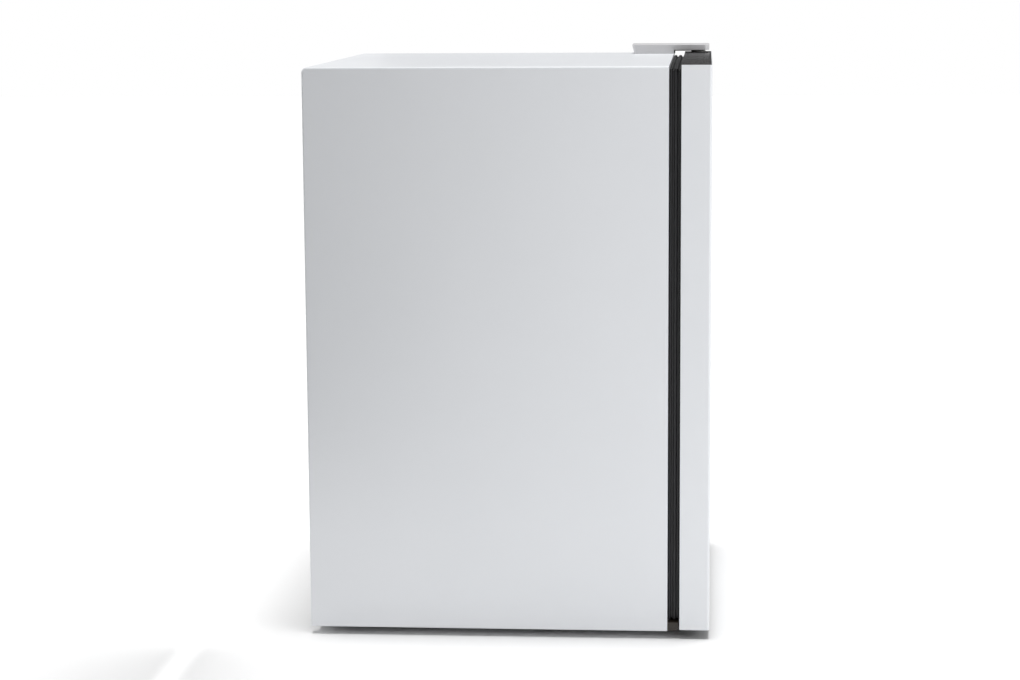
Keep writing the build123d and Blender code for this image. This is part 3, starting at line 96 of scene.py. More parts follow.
world = bpy.data.worlds.new("studio")
scene.world = world
world.use_nodes = True
sky = world.node_tree
background = sky.nodes["Background"]
background.inputs["Color"].default_value = (1.0, 1.0, 1.0, 1.0)
seen = sky.nodes.new("ShaderNodeLightPath")
level = sky.nodes.new("ShaderNodeMapRange")
level.inputs["To Min"].default_value = 0.42
level.inputs["To Max"].default_value = 1.0
sky.links.new(seen.outputs["Is Camera Ray"], level.inputs["Value"])
sky.links.new(level.outputs["Result"], background.inputs["Strength"])


def noise(tree, scale, detail, stretch):
    """Noise on the object's own coordinates, stretched along the axes."""
    place = tree.nodes.new("ShaderNodeTexCoord")
    turn = tree.nodes.new("ShaderNodeMapping")
    turn.inputs["Scale"].default_value = stretch
    grain = tree.nodes.new("ShaderNodeTexNoise")
    grain.inputs["Scale"].default_value = scale
    grain.inputs["Detail"].default_value = detail
    tree.links.new(place.outputs["Object"], turn.inputs["Vector"])
    tree.links.new(turn.outputs["Vector"], grain.inputs["Vector"])
    return grain.outputs["Fac"]


def between(tree, value, low, high):
    """Spreads a value that runs from about 0.1 to 0.9 over a new range."""
    usual_low, usual_high = 0.1, 0.9
    spread = tree.nodes.new("ShaderNodeMapRange")
    spread.interpolation_type = "SMOOTHSTEP"
    spread.inputs["From Min"].default_value = usual_low
    spread.inputs["From Max"].default_value = usual_high
    spread.inputs["To Min"].default_value = low
    spread.inputs["To Max"].default_value = high
    tree.links.new(value, spread.inputs["Value"])
    return spread.outputs["Result"]


def finish(
    name, dark, light, tone_scale, rough, grain_scale, grain_depth, stretch=(1.0, 1.0, 1.0), **sockets,
):
    """A surface with two close tones, uneven roughness and a fine grain; sockets are constants."""
    made = bpy.data.materials.new(name)
    made.use_nodes = True
    tree = made.node_tree
    shader = tree.nodes["Principled BSDF"]
    for socket, value in sockets.items():
        shader.inputs[socket.replace("_", " ")].default_value = value
    tone = tree.nodes.new("ShaderNodeMix")
    tone.data_type = "RGBA"
    tone.inputs["A"].default_value = (*dark, 1.0)
    tone.inputs["B"].default_value = (*light, 1.0)
    broad = noise(tree, tone_scale, 4.0, stretch)
    tree.links.new(between(tree, broad, 0.0, 1.0), tone.inputs["Factor"])
    tree.links.new(tone.outputs["Result"], shader.inputs["Base Color"])
    tree.links.new(between(tree, broad, *rough), shader.inputs["Roughness"])
    bump = tree.nodes.new("ShaderNodeBump")
    bump.inputs["Distance"].default_value = grain_depth
    bump.inputs["Strength"].default_value = 1.0
    tree.links.new(noise(tree, grain_scale, 2.0, stretch), bump.inputs["Height"])
    tree.links.new(bump.outputs["Normal"], shader.inputs["Normal"])
    return made


floor_reach = 12.0
floor_mesh = bpy.data.meshes.new("floor")
corners = [(-1, -1), (1, -1), (1, 1), (-1, 1)]
floor_mesh.from_pydata([(x * floor_reach, y * floor_reach, 0.0) for x, y in corners], [], [(0, 1, 2, 3)])
floor = bpy.data.objects.new("floor", floor_mesh)
scene.collection.objects.link(floor)
floor_mesh.materials.append(finish(
    "pale_floor", (0.83, 0.83, 0.83), (0.85, 0.85, 0.85), 1.5, (0.85, 0.95), 60.0, 0.00002,
    Specular_IOR_Level=0.0,
))

# A black flag hangs behind the fridge's left rear edge, unseen by the camera. It takes light
# from the rear of the side panel, so the white falls off gently towards the back.
flag_y, flag_near, flag_far, flag_foot, flag_top = 0.35, -0.30, -1.05, 0.12, 1.3
flag_mesh = bpy.data.meshes.new("black_flag")
flag_mesh.from_pydata(
    [
        (flag_near, flag_y, flag_foot), (flag_far, flag_y, flag_foot),
        (flag_far, flag_y, flag_top), (flag_near, flag_y, flag_top),
    ],
    [], [(0, 1, 2, 3)],
)
flag = bpy.data.objects.new("black_flag", flag_mesh)
scene.collection.objects.link(flag)
flag_mesh.materials.append(finish(
    "black_cloth", (0.01, 0.01, 0.01), (0.02, 0.02, 0.02), 20.0, (0.9, 1.0), 300.0, 0.0001,
))
flag.visible_camera = False

# A grey card stands beyond the door. Only polished faces mirror it: seen at a grazing angle,
# the door's dark end cap would otherwise mirror the white of the studio.
card_x, card_low, card_high = 1.4, 0.55, 1.5
card_left, card_right = -0.95, 0.35
card_mesh = bpy.data.meshes.new("grey_card")
card_mesh.from_pydata(
    [
        (card_x, card_left, card_low), (card_x, card_right, card_low),
        (card_x, card_right, card_high), (card_x, card_left, card_high),
    ],
    [], [(0, 1, 2, 3)],
)
card = bpy.data.objects.new("grey_card", card_mesh)
scene.collection.objects.link(card)
card_mesh.materials.append(finish(
    "grey_cloth", (0.10, 0.10, 0.10), (0.12, 0.12, 0.12), 20.0, (0.9, 1.0), 300.0, 0.0001,
))
card.visible_camera = False
card.visible_diffuse = False
card.visible_shadow = False
card.visible_transmission = False


# ------------------------------------------------------------------------------------------
# Cabinet. Sides and top are one folded sheet with a white powder coat, over a galvanised
# base plate and a black front bar. Each fold has a small outer radius that catches the light.

MM = 0.001
weld_reach = 0.002 * MM
nodes = frame["nodes"]
held_by = frame["record"]["behaviour"]["bodies"]
body_of = {node: body for body, held in held_by.items() for node in held}
white_paint = finish(
    "white_powder_coat", (0.765, 0.782, 0.808), (0.80, 0.815, 0.84), 3.0, (0.34, 0.40), 620.0, 0.000018,
    Coat_Weight=0.12, Coat_Roughness=0.2,
)
black_paint = finish(
    "black_enamel", (0.012, 0.012, 0.013), (0.022, 0.022, 0.024), 60.0, (0.32, 0.5), 900.0, 0.00003,
)
rail_brown = finish(
    "rail_plastic", (0.016, 0.012, 0.008), (0.03, 0.023, 0.016), 90.0, (0.35, 0.5), 1500.0, 0.00003,
)
zinc = finish(
    "zinc_plate", (0.33, 0.34, 0.35), (0.52, 0.53, 0.54), 110.0, (0.3, 0.5), 500.0, 0.00002, Metallic=0.9,
)
foam = finish("cured_foam", (0.62, 0.50, 0.28), (0.80, 0.68, 0.42), 130.0, (0.85, 0.95), 420.0, 0.0006)


def place_piece(name, mesh, body, material, replaced=()):
    """Puts a finished mesh in the scene, on its body, with its finish and the nodes it stands for."""
    piece = bpy.data.objects.new(name, mesh)
    scene.collection.objects.link(piece)
    mesh.materials.clear()
    mesh.materials.append(material)
    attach(piece, body)
    if replaced:
        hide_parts(*replaced)
    return piece


def merged_copy(node, whole_flats=True):
    """A node's mesh with its triangles joined and, if asked, its flat faces made whole."""
    form = bmesh.new()
    form.from_mesh(nodes[node].data)
    bmesh.ops.remove_doubles(form, verts=form.verts, dist=weld_reach)
    flat = math.radians(0.3)
    if whole_flats:
        bmesh.ops.dissolve_limit(form, angle_limit=flat, verts=form.verts, edges=form.edges)
    return form


def shaded(form, name, sharp=32.0):
    """Turns a form into a mesh that is smooth except over its sharp edges."""
    loose = bpy.data.meshes.new(name)
    form.to_mesh(loose)
    form.free()
    loose.shade_smooth()
    loose.set_sharp_from_angle(angle=math.radians(sharp))
    holder = bpy.data.objects.new(name, loose)
    scene.collection.objects.link(holder)
    weigh = holder.modifiers.new("weighted_normals", "WEIGHTED_NORMAL")
    weigh.keep_sharp = True
    weigh.weight = 100
    mesh = bpy.data.meshes.new_from_object(holder.evaluated_get(bpy.context.evaluated_depsgraph_get()))
    mesh.name = name
    bpy.data.objects.remove(holder)
    return mesh


def round_edges(form, edges, radius):
    """Rounds some of a form's edges in two steps."""
    bmesh.ops.bevel(
        form, geom=edges, offset=radius, segments=2, profile=0.5, affect="EDGES", clamp_overlap=True,
    )


def softened(node, radius, whole_flats=True):
    """A node's form with its sharp edges rounded."""
    form = merged_copy(node, whole_flats)
    least_turn = math.radians(50.0)
    sharp = [edge for edge in form.edges if edge.is_manifold and edge.calc_face_angle(0.0) > least_turn]
    round_edges(form, sharp, radius)
    return form


def repaint(node, material):
    """Gives a node its finish and keeps its shape."""
    nodes[node].data.materials.clear()
    nodes[node].data.materials.append(material)


def softened_piece(node, radius, material, whole_flats=True):
    """A rounded copy that takes the node's place."""
    mesh = shaded(softened(node, radius, whole_flats), node + "_finished")
    return place_piece(node + "_finished", mesh, body_of[node], material, (node,))


fold_radius = 0.4 * MM
softened_piece("cabinet_shell", fold_radius, white_paint)
softened_piece("kick_rail", 0.5 * MM, rail_brown)
softened_piece("lower_crossbar", 0.3 * MM, black_paint)
repaint("cabinet_foam", foam)
softened_piece("base_plate", 0.2 * MM, zinc)

# ------------------------------------------------------------------------------------------
# Inner lining. One vacuum-formed sheet of white polystyrene with soft corners, a satin
# face and pairs of ribs that carry the shelves and the drip tray.

lining_white = finish(
    "polystyrene_lining", (0.80, 0.815, 0.825), (0.84, 0.852, 0.862), 5.0, (0.3, 0.38), 340.0, 0.00003,
    Subsurface_Weight=0.05, Subsurface_Radius=(0.004, 0.004, 0.003),
)
softened_piece("inner_liner", 0.6 * MM, lining_white)

# ------------------------------------------------------------------------------------------
# Back of the cabinet. A zinc-coated panel with raised beads that stiffen it, held by eight
# screws beside the shell's flange, and a folded housing that roofs the machine compartment.


def spangled_zinc():
    """Hot-dip zinc: crystal patches that differ in tone and gloss."""
    made = finish(
        "spangled_zinc", (0.40, 0.415, 0.43), (0.50, 0.515, 0.53), 30.0, (0.28, 0.42), 240.0, 0.00001,
        Metallic=0.75,
    )
    tree = made.node_tree
    shader = tree.nodes["Principled BSDF"]
    place = tree.nodes.new("ShaderNodeTexCoord")
    crystals = tree.nodes.new("ShaderNodeTexVoronoi")
    crystals.inputs["Scale"].default_value = 95.0
    tree.links.new(place.outputs["Object"], crystals.inputs["Vector"])
    grey = tree.nodes.new("ShaderNodeRGBToBW")
    tree.links.new(crystals.outputs["Color"], grey.inputs["Color"])
    tree.links.new(between(tree, grey.outputs["Val"], 0.3, 0.52), shader.inputs["Roughness"])
    tone = tree.nodes.new("ShaderNodeMix")
    tone.data_type = "RGBA"
    tone.inputs["A"].default_value = (0.40, 0.415, 0.43, 1.0)
    tone.inputs["B"].default_value = (0.56, 0.575, 0.59, 1.0)
    tree.links.new(grey.outputs["Val"], tone.inputs["Factor"])
    tree.links.new(tone.outputs["Result"], shader.inputs["Base Color"])
    return made


spangle = spangled_zinc()
panel_low, panel_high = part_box("back_panel")
bead_height, bead_width, bead_inset = 0.65 * MM, 16 * MM, 46 * MM
grid_step = 4 * MM


def bead_rise(x, z):
    """How far the panel is pressed outwards at a point: a raised frame and two cross beads."""
    left, right = panel_low.x + bead_inset, panel_high.x - bead_inset
    low, high = panel_low.z + bead_inset, panel_high.z - bead_inset
    to_frame = min(abs(x - left), abs(x - right)) if low <= z <= high else 1.0
    if left <= x <= right:
        to_frame = min(to_frame, abs(z - low), abs(z - high))
        share = (x - left) / (right - left)
        diagonal = low + (high - low) * share
        opposite = high - (high - low) * share
        lean = math.hypot(right - left, high - low) / (right - left)
        if low <= z <= high:
            to_frame = min(to_frame, abs(z - diagonal) / lean, abs(z - opposite) / lean)
    closeness = max(0.0, 1.0 - to_frame / (bead_width / 2))
    return bead_height * closeness * closeness * (3 - 2 * closeness)


def pressed_panel():
    """The back panel as a fine grid of a pressed sheet, closed at its rim."""
    form = bmesh.new()
    columns = round((panel_high.x - panel_low.x) / grid_step)
    rows = round((panel_high.z - panel_low.z) / grid_step)
    sides = []
    for y, pressed in ((panel_high.y, True), (panel_low.y, False)):
        grid = []
        for row in range(rows + 1):
            z = panel_low.z + (panel_high.z - panel_low.z) * row / rows
            line = []
            for column in range(columns + 1):
                x = panel_low.x + (panel_high.x - panel_low.x) * column / columns
                line.append(form.verts.new((x, y + bead_rise(x, z) * pressed, z)))
            grid.append(line)
        for row in range(rows):
            for column in range(columns):
                below, above = grid[row], grid[row + 1]
                square = [below[column], above[column], above[column + 1], below[column + 1]]
                form.faces.new(square if pressed else square[::-1])
        sides.append(grid)
    outer, inner = sides
    rim = [(0, c) for c in range(columns)] + [(r, columns) for r in range(rows)]
    rim += [(rows, c) for c in range(columns, 0, -1)] + [(r, 0) for r in range(rows, 0, -1)]
    for here, there in zip(rim, rim[1:] + rim[:1]):
        (a, b), (c, d) = here, there
        form.faces.new((outer[a][b], outer[c][d], inner[c][d], inner[a][b]))
    bmesh.ops.recalc_face_normals(form, faces=form.faces)
    return form


place_piece(
    "back_panel_pressed", shaded(pressed_panel(), "back_panel_pressed", 50.0),
    "cabinet", spangle, ("back_panel",),
)
softened_piece("machine_housing", 0.2 * MM, spangle)

# ------------------------------------------------------------------------------------------
# Screws. Zinc-plated pan heads with a cross recess: three through the top hinge plate,
# three up through the lower bracket and eight low heads in the back panel.

plated = finish(
    "bright_plating", (0.50, 0.51, 0.53), (0.64, 0.65, 0.66), 400.0, (0.2, 0.34), 1500.0, 0.00001,
    Metallic=1.0,
)


def island_boxes(node):
    """The corner boxes of a node's separate solids."""
    form = bmesh.new()
    form.from_mesh(nodes[node].data)
    bmesh.ops.remove_doubles(form, verts=form.verts, dist=weld_reach)
    left = set(form.verts)
    boxes = []
    while left:
        front = [left.pop()]
        found = list(front)
        while front:
            near = {edge.other_vert(vert) for vert in front for edge in vert.link_edges} & left
            left -= near
            front = list(near)
            found += front
        low = Vector(min(vert.co[axis] for vert in found) for axis in range(3))
        high = Vector(max(vert.co[axis] for vert in found) for axis in range(3))
        boxes.append((low, high))
    form.free()
    return sorted(boxes, key=lambda pair: tuple(round(value, 4) for value in pair[0]))


def screw_form(head_radius, head_height, shank_radius, shank_length):
    """One screw along +Z, head up, with a crowned head and a cross recess cut into it."""
    turns = 32
    rings = [(0.0, -shank_length), (shank_radius * 0.7, -shank_length)]
    rings += [(shank_radius, -shank_length + shank_radius * 0.6)]
    rings += [(shank_radius, 0.0), (head_radius, 0.0), (head_radius, head_height * 0.35)]
    crown = 5
    for step in range(1, crown):
        angle = math.pi / 2 * step / crown
        across = head_radius * (0.55 + 0.45 * math.cos(angle))
        rings.append((across, head_height * (0.35 + 0.65 * math.sin(angle))))
    recess, arm = head_radius * 0.62, head_radius * 0.16
    form = bmesh.new()
    loops = []
    for radius, z in rings:
        if radius == 0.0:
            loops.append([form.verts.new((0, 0, z))])
            continue
        loops.append([
            form.verts.new((radius * math.cos(angle), radius * math.sin(angle), z))
            for angle in (2 * math.pi * t / turns for t in range(turns))
        ])
    for lower, upper in zip(loops, loops[1:]):
        for t in range(turns):
            u = (t + 1) % turns
            if len(lower) == 1:
                form.faces.new((lower[0], upper[u], upper[t]))
            else:
                form.faces.new((lower[t], lower[u], upper[u], upper[t]))
    cross = [
        (recess, -arm), (recess, arm), (arm, arm), (arm, recess), (-arm, recess), (-arm, arm),
        (-recess, arm), (-recess, -arm), (-arm, -arm), (-arm, -recess), (arm, -recess), (arm, -arm),
    ]
    rim = [form.verts.new((x, y, head_height)) for x, y in cross]
    floor_loop = [form.verts.new((x * 0.6, y * 0.6, head_height * 0.45)) for x, y in cross]
    for t in range(len(cross)):
        u = (t + 1) % len(cross)
        form.faces.new((rim[t], rim[u], floor_loop[u], floor_loop[t]))
    form.faces.new(floor_loop)
    edge_rim = [form.edges.get((rim[t], rim[(t + 1) % len(cross)])) for t in range(len(cross))]
    edge_top = [form.edges.get((loops[-1][t], loops[-1][(t + 1) % turns])) for t in range(turns)]
    bmesh.ops.bridge_loops(form, edges=edge_rim + edge_top)
    bmesh.ops.recalc_face_normals(form, faces=form.faces)
    return form


def empty_tree(name, inputs):
    """A geometry nodes tree with named inputs of given kinds and one geometry output."""
    tree = bpy.data.node_groups.new(name, "GeometryNodeTree")
    for label, kind in inputs.items():
        tree.interface.new_socket(label, in_out="INPUT", socket_type="NodeSocket" + kind)
    tree.interface.new_socket("Geometry", in_out="OUTPUT", socket_type="NodeSocketGeometry")
    return tree


def screw_tree():
    """Geometry nodes: one screw on each point, turned to the head's direction."""
    tree = empty_tree("screws_on_points", {
        "Points": "Geometry", "Screw": "Object", "Head Direction": "Vector", "Finish": "Material",
        "Seed": "Int",
    })
    into, out = tree.nodes.new("NodeGroupInput"), tree.nodes.new("NodeGroupOutput")
    take = tree.nodes.new("GeometryNodeObjectInfo")
    align = tree.nodes.new("FunctionNodeAlignRotationToVector")
    align.axis = "Z"
    spin = tree.nodes.new("FunctionNodeRandomValue")
    spin.data_type = "FLOAT"
    spin.inputs["Max"].default_value = math.pi
    turn = tree.nodes.new("FunctionNodeAxisAngleToRotation")
    turn.inputs["Axis"].default_value = (0.0, 0.0, 1.0)
    both = tree.nodes.new("FunctionNodeRotateRotation")
    both.rotation_space = "LOCAL"
    copies = tree.nodes.new("GeometryNodeInstanceOnPoints")
    real = tree.nodes.new("GeometryNodeRealizeInstances")
    paint = tree.nodes.new("GeometryNodeSetMaterial")
    link = tree.links.new
    link(into.outputs["Screw"], take.inputs["Object"])
    link(into.outputs["Head Direction"], align.inputs["Vector"])
    link(into.outputs["Seed"], spin.inputs["Seed"])
    link(spin.outputs["Value"], turn.inputs["Angle"])
    link(align.outputs["Rotation"], both.inputs["Rotation"])
    link(turn.outputs["Rotation"], both.inputs["Rotate By"])
    link(into.outputs["Points"], copies.inputs["Points"])
    link(take.outputs["Geometry"], copies.inputs["Instance"])
    link(both.outputs["Rotation"], copies.inputs["Rotation"])
    link(copies.outputs["Instances"], real.inputs["Geometry"])
    link(real.outputs["Geometry"], paint.inputs["Geometry"])
    link(into.outputs["Finish"], paint.inputs["Material"])
    link(paint.outputs["Geometry"], out.inputs["Geometry"])
    return tree


def grown(name, start, tree, inputs):
    """Runs a geometry nodes tree on a start mesh and keeps the result as a plain mesh."""
    holder = bpy.data.objects.new(name + "_holder", start)
    scene.collection.objects.link(holder)
    modifier = holder.modifiers.new("grow", "NODES")
    modifier.node_group = tree
    keys = {item.name: item.identifier for item in tree.interface.items_tree if item.in_out == "INPUT"}
    for label, value in inputs.items():
        modifier[keys[label]] = value
    evaluated = holder.evaluated_get(bpy.context.evaluated_depsgraph_get())
    mesh = bpy.data.meshes.new_from_object(evaluated)
    mesh.name = name
    holder.modifiers.clear()
    bpy.data.objects.remove(holder)
    return mesh


screws_on_points = screw_tree()
screw_sets = [
    ("top_hinge_screws", Vector((0, 0, 1)), 4.2, 1.8, 2.0),
    ("lower_hinge_screws", Vector((0, 0, -1)), 4.2, 1.8, 2.0),
    ("back_panel_screws", Vector((0, 1, 0)), 3.6, 0.8, 2.0),
]
for seed, (node, up, head_radius, head_height, shank_radius) in enumerate(screw_sets):
    seats = []
    for low, high in island_boxes(node):
        centre = (low + high) / 2
        extent = sum(up[axis] * (high[axis] if up[axis] > 0 else low[axis]) for axis in range(3))
        seats.append(centre + up * (extent - centre.dot(up) - head_height * MM))
        length = abs((high - low).dot(up)) - head_height * MM
    one_form = screw_form(head_radius * MM, head_height * MM, shank_radius * MM, length)
    one_mesh = shaded(one_form, node + "_one", 40.0)
    one = bpy.data.objects.new(node + "_one", one_mesh)
    scene.collection.objects.link(one)
    points = bpy.data.meshes.new(node + "_points")
    points.from_pydata([tuple(seat) for seat in seats], [], [])
    mesh = grown(node + "_cross_head", points, screws_on_points, {
        "Screw": one, "Head Direction": up, "Finish": plated, "Seed": seed,
    })
    bpy.data.objects.remove(one)
    place_piece(node + "_cross_head", mesh, body_of[node], plated, (node,))

# ------------------------------------------------------------------------------------------
# Hinges. Pressed steel plates in black enamel with plated pins, plastic bushes in the door,
# and a moulded silver-grey cover over the top one, crowned, with its rear foot undercut.

silver_plastic = finish(
    "silver_moulding", (0.62, 0.615, 0.625), (0.67, 0.665, 0.675), 25.0, (0.32, 0.42), 1800.0, 0.00004,
    Metallic=0.15,
)
bush_white = finish(
    "acetal_bush", (0.72, 0.71, 0.67), (0.78, 0.77, 0.74), 120.0, (0.35, 0.45), 900.0, 0.00002,
)
for node, radius in (("top_hinge_plate", 0.4), ("lower_hinge_bracket", 0.4)):
    softened_piece(node, radius * MM, black_paint)
softened_piece("hinge_backing_plate", 0.2 * MM, zinc)
for node in ("top_hinge_pin", "lower_hinge_pin"):
    softened_piece(node, 0.25 * MM, plated)
for node in ("top_hinge_bush", "lower_hinge_bush"):
    softened_piece(node, 0.2 * MM, bush_white)


def crowned_cover():
    """The cover's moulded form: rounded edges, a slightly crowned top and an undercut rear foot."""
    low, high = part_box("top_hinge_cover")
    form = softened("top_hinge_cover", 0.35 * MM)
    crown, undercut, undercut_height, reach = 0.4 * MM, 0.9, 3.2 * MM, 9 * MM
    half = (high.x - low.x) / 2
    for vert in form.verts:
        across = (vert.co.x - (low.x + high.x) / 2) / half
        height = (vert.co.z - low.z) / (high.z - low.z)
        nearness = max(0.0, 1.0 - (high.y - vert.co.y) / reach)
        vert.co.y -= undercut * nearness * max(0.0, undercut_height - (vert.co.z - low.z))
        vert.co.z -= crown * across * across * height
    return form


place_piece(
    "top_hinge_cover_moulded", shaded(crowned_cover(), "top_hinge_cover_moulded"),
    "cabinet", silver_plastic, ("top_hinge_cover",),
)

# ------------------------------------------------------------------------------------------
# Feet. Two black levelling feet screw into plastic sockets at the front, and two moulded
# feet are pegged through the base plate at the rear.

foot_black = finish(
    "foot_polymer", (0.018, 0.018, 0.019), (0.034, 0.034, 0.035), 150.0, (0.5, 0.65), 1200.0, 0.00006,
)
for node in ("levelling_foot_left", "levelling_foot_right", "rear_feet"):
    softened_piece(node, 0.3 * MM, foot_black)
softened_piece("foot_sockets", 0.3 * MM, bush_white)

# ------------------------------------------------------------------------------------------
# Shelves. Steel wires, welded and dipped in white epoxy, lie on the lining's ribs.

epoxy_white = finish(
    "epoxy_coating", (0.80, 0.80, 0.79), (0.87, 0.87, 0.86), 40.0, (0.18, 0.26), 700.0, 0.00003,
    Coat_Weight=0.4,
)
for node in ("shelf_lower", "shelf_upper"):
    repaint(node, epoxy_white)

# ------------------------------------------------------------------------------------------
# Freezer box. Two bonded aluminium sheets with an inflated channel between them, hung from
# the ceiling on four spacers. The channel shows as a raised ridge on the box's floor.

aluminium = finish(
    "rolled_aluminium", (0.62, 0.63, 0.645), (0.74, 0.75, 0.765), 45.0, (0.3, 0.45), 520.0, 0.00003,
    stretch=(1.0, 0.12, 1.0), Metallic=0.95,
)
softened_piece("evaporator_box", 0.3 * MM, aluminium)
softened_piece("evaporator_hangers", 0.3 * MM, bush_white)


def channel_tree():
    """Geometry nodes: a low rounded ridge along a serpentine of straight runs."""
    tree = empty_tree("inflated_channel", {
        "Route": "Geometry", "Bend Radius": "Float", "Ridge Radius": "Float", "Finish": "Material",
    })
    into, out = tree.nodes.new("NodeGroupInput"), tree.nodes.new("NodeGroupOutput")
    curve = tree.nodes.new("GeometryNodeMeshToCurve")
    bends = tree.nodes.new("GeometryNodeFilletCurve")
    bends.mode = "POLY"
    bends.inputs["Count"].default_value = 8
    section = tree.nodes.new("GeometryNodeCurvePrimitiveCircle")
    section.inputs["Resolution"].default_value = 12
    body = tree.nodes.new("GeometryNodeCurveToMesh")
    body.inputs["Fill Caps"].default_value = True
    real = tree.nodes.new("GeometryNodeRealizeInstances")
    paint = tree.nodes.new("GeometryNodeSetMaterial")
    link = tree.links.new
    link(into.outputs["Route"], curve.inputs["Mesh"])
    link(curve.outputs["Curve"], bends.inputs["Curve"])
    link(into.outputs["Bend Radius"], bends.inputs["Radius"])
    link(into.outputs["Ridge Radius"], section.inputs["Radius"])
    link(bends.outputs["Curve"], body.inputs["Curve"])
    link(section.outputs["Curve"], body.inputs["Profile Curve"])
    link(body.outputs["Mesh"], real.inputs["Geometry"])
    link(real.outputs["Geometry"], paint.inputs["Geometry"])
    link(into.outputs["Finish"], paint.inputs["Material"])
    link(paint.outputs["Geometry"], out.inputs["Geometry"])
    return tree


def channel_route(low, high, runs, edge, height):
    """Corner points of a serpentine over a rectangle, as a mesh of one line."""
    points = []
    pitch = (high.y - low.y - 2 * edge) / (runs - 1)
    for run in range(runs):
        ends = [(low.x + edge, height), (high.x - edge, height)]
        y = low.y + edge + pitch * run
        for x, z in (ends if run % 2 == 0 else ends[::-1]):
            points.append((x, y, z))
    line = bpy.data.meshes.new("channel_route")
    line.from_pydata(points, [(i, i + 1) for i in range(len(points) - 1)], [])
    return line


freezer_low, freezer_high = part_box("evaporator_box")
sheet_wall, ridge_radius, ridge_sunk = 1.6 * MM, 2.2 * MM, 0.9 * MM
ridge_runs, ridge_edge, bend_radius = 9, 24 * MM, 9 * MM
ridge_centre = freezer_low.z + sheet_wall - ridge_sunk
route = channel_route(freezer_low, freezer_high, ridge_runs, ridge_edge, ridge_centre)
ridge = grown("freezer_channel", route, channel_tree(), {
    "Bend Radius": bend_radius, "Ridge Radius": ridge_radius, "Finish": aluminium,
})
ridge.shade_smooth()
place_piece("freezer_channel", ridge, "cabinet", aluminium)

# ------------------------------------------------------------------------------------------
# Clear mouldings. The flap, the drip tray and both door bins are tinted polystyrene. The
# bins and the tray have a rolled rim and a rounded foot; the bins' fronts are also ribbed.

clear_tint = finish(
    "clear_polystyrene", (0.89, 0.94, 0.96), (0.93, 0.96, 0.975), 12.0, (0.10, 0.18), 260.0, 0.00003,
    Transmission_Weight=0.88, IOR=1.45,
)
frame_white = finish(
    "frame_moulding", (0.70, 0.74, 0.79), (0.76, 0.79, 0.83), 30.0, (0.32, 0.42), 1000.0, 0.00004,
)
softened_piece("freezer_frame", 0.4 * MM, frame_white)
softened_piece("freezer_flap", 0.35 * MM, clear_tint)


def rounded_plan(low, high, inset, front_radius, rear_radius, rib=0.0, rib_count=0):
    """Points round a tray's plan, from one front corner to the other; ribs step the wall between."""
    x0, x1 = low.x + inset, high.x - inset
    y0, y1 = low.y + inset, high.y - inset
    steps = 6
    points = []
    corners = [
        (x0, y1, 1, -1, front_radius, 90), (x0, y0, 1, 1, rear_radius, 180),
        (x1, y0, -1, 1, rear_radius, 270), (x1, y1, -1, -1, front_radius, 0),
    ]
    for x, y, sx, sy, radius, start in corners:
        radius = max(radius - inset, 0.4 * MM)
        centre = (x + sx * radius, y + sy * radius)
        for step in range(steps + 1):
            angle = math.radians(start + 90 * step / steps)
            points.append((centre[0] + radius * math.cos(angle), centre[1] + radius * math.sin(angle)))
    if rib_count:
        first, last = points[-1], points[0]
        span = first[0] - last[0]
        for index in range(rib_count * 4):
            share = (index + 0.5) / (rib_count * 4)
            inward = rib if index % 4 in (1, 2) else 0.0
            points.append((first[0] - span * share, first[1] - inward))
    return points


def tray_form(low, high, wall, front_radius, rear_radius, rim, rib_count):
    """A closed shell: outer foot, outer wall, rolled rim, inner wall and inner floor."""
    foot, rib_in, tall = 3 * MM, 0.8 * MM, high.z - low.z
    profile = [(foot * 0.8, 0.0, 0), (foot * 0.25, foot * 0.25, 0), (rim, foot, 1)]
    profile += [(rim, tall - 3.2 * rim, 1), (rim * 0.15, tall - 2.4 * rim, 0)]
    profile += [(0.0, tall - rim, 0), (rim * 0.5, tall, 0), (rim + wall * 0.5, tall, 0)]
    profile += [(rim + wall, tall - rim, 0), (rim + wall, foot + wall, 1), (foot + wall, wall, 0)]
    form = bmesh.new()
    loops = []
    for inset, height, ribbed in profile:
        plan = rounded_plan(low, high, inset, front_radius, rear_radius, rib_in * ribbed, rib_count)
        loops.append([form.verts.new((x, y, low.z + height)) for x, y in plan])
    for lower, upper in zip(loops, loops[1:]):
        for here in range(len(lower)):
            there = (here + 1) % len(lower)
            form.faces.new((lower[here], lower[there], upper[there], upper[here]))
    form.faces.new(loops[0][::-1])
    form.faces.new(loops[-1])
    bmesh.ops.recalc_face_normals(form, faces=form.faces)
    return form


def add_block(form, low, high, radius):
    """Adds a block with rounded edges to a form."""
    size = high - low
    place = Matrix.Translation((low + high) / 2) @ Matrix.Diagonal((*size, 1.0))
    made = bmesh.ops.create_cube(form, size=1.0, matrix=place)
    edges = list(dict.fromkeys(edge for vert in made["verts"] for edge in vert.link_edges))
    round_edges(form, edges, radius)


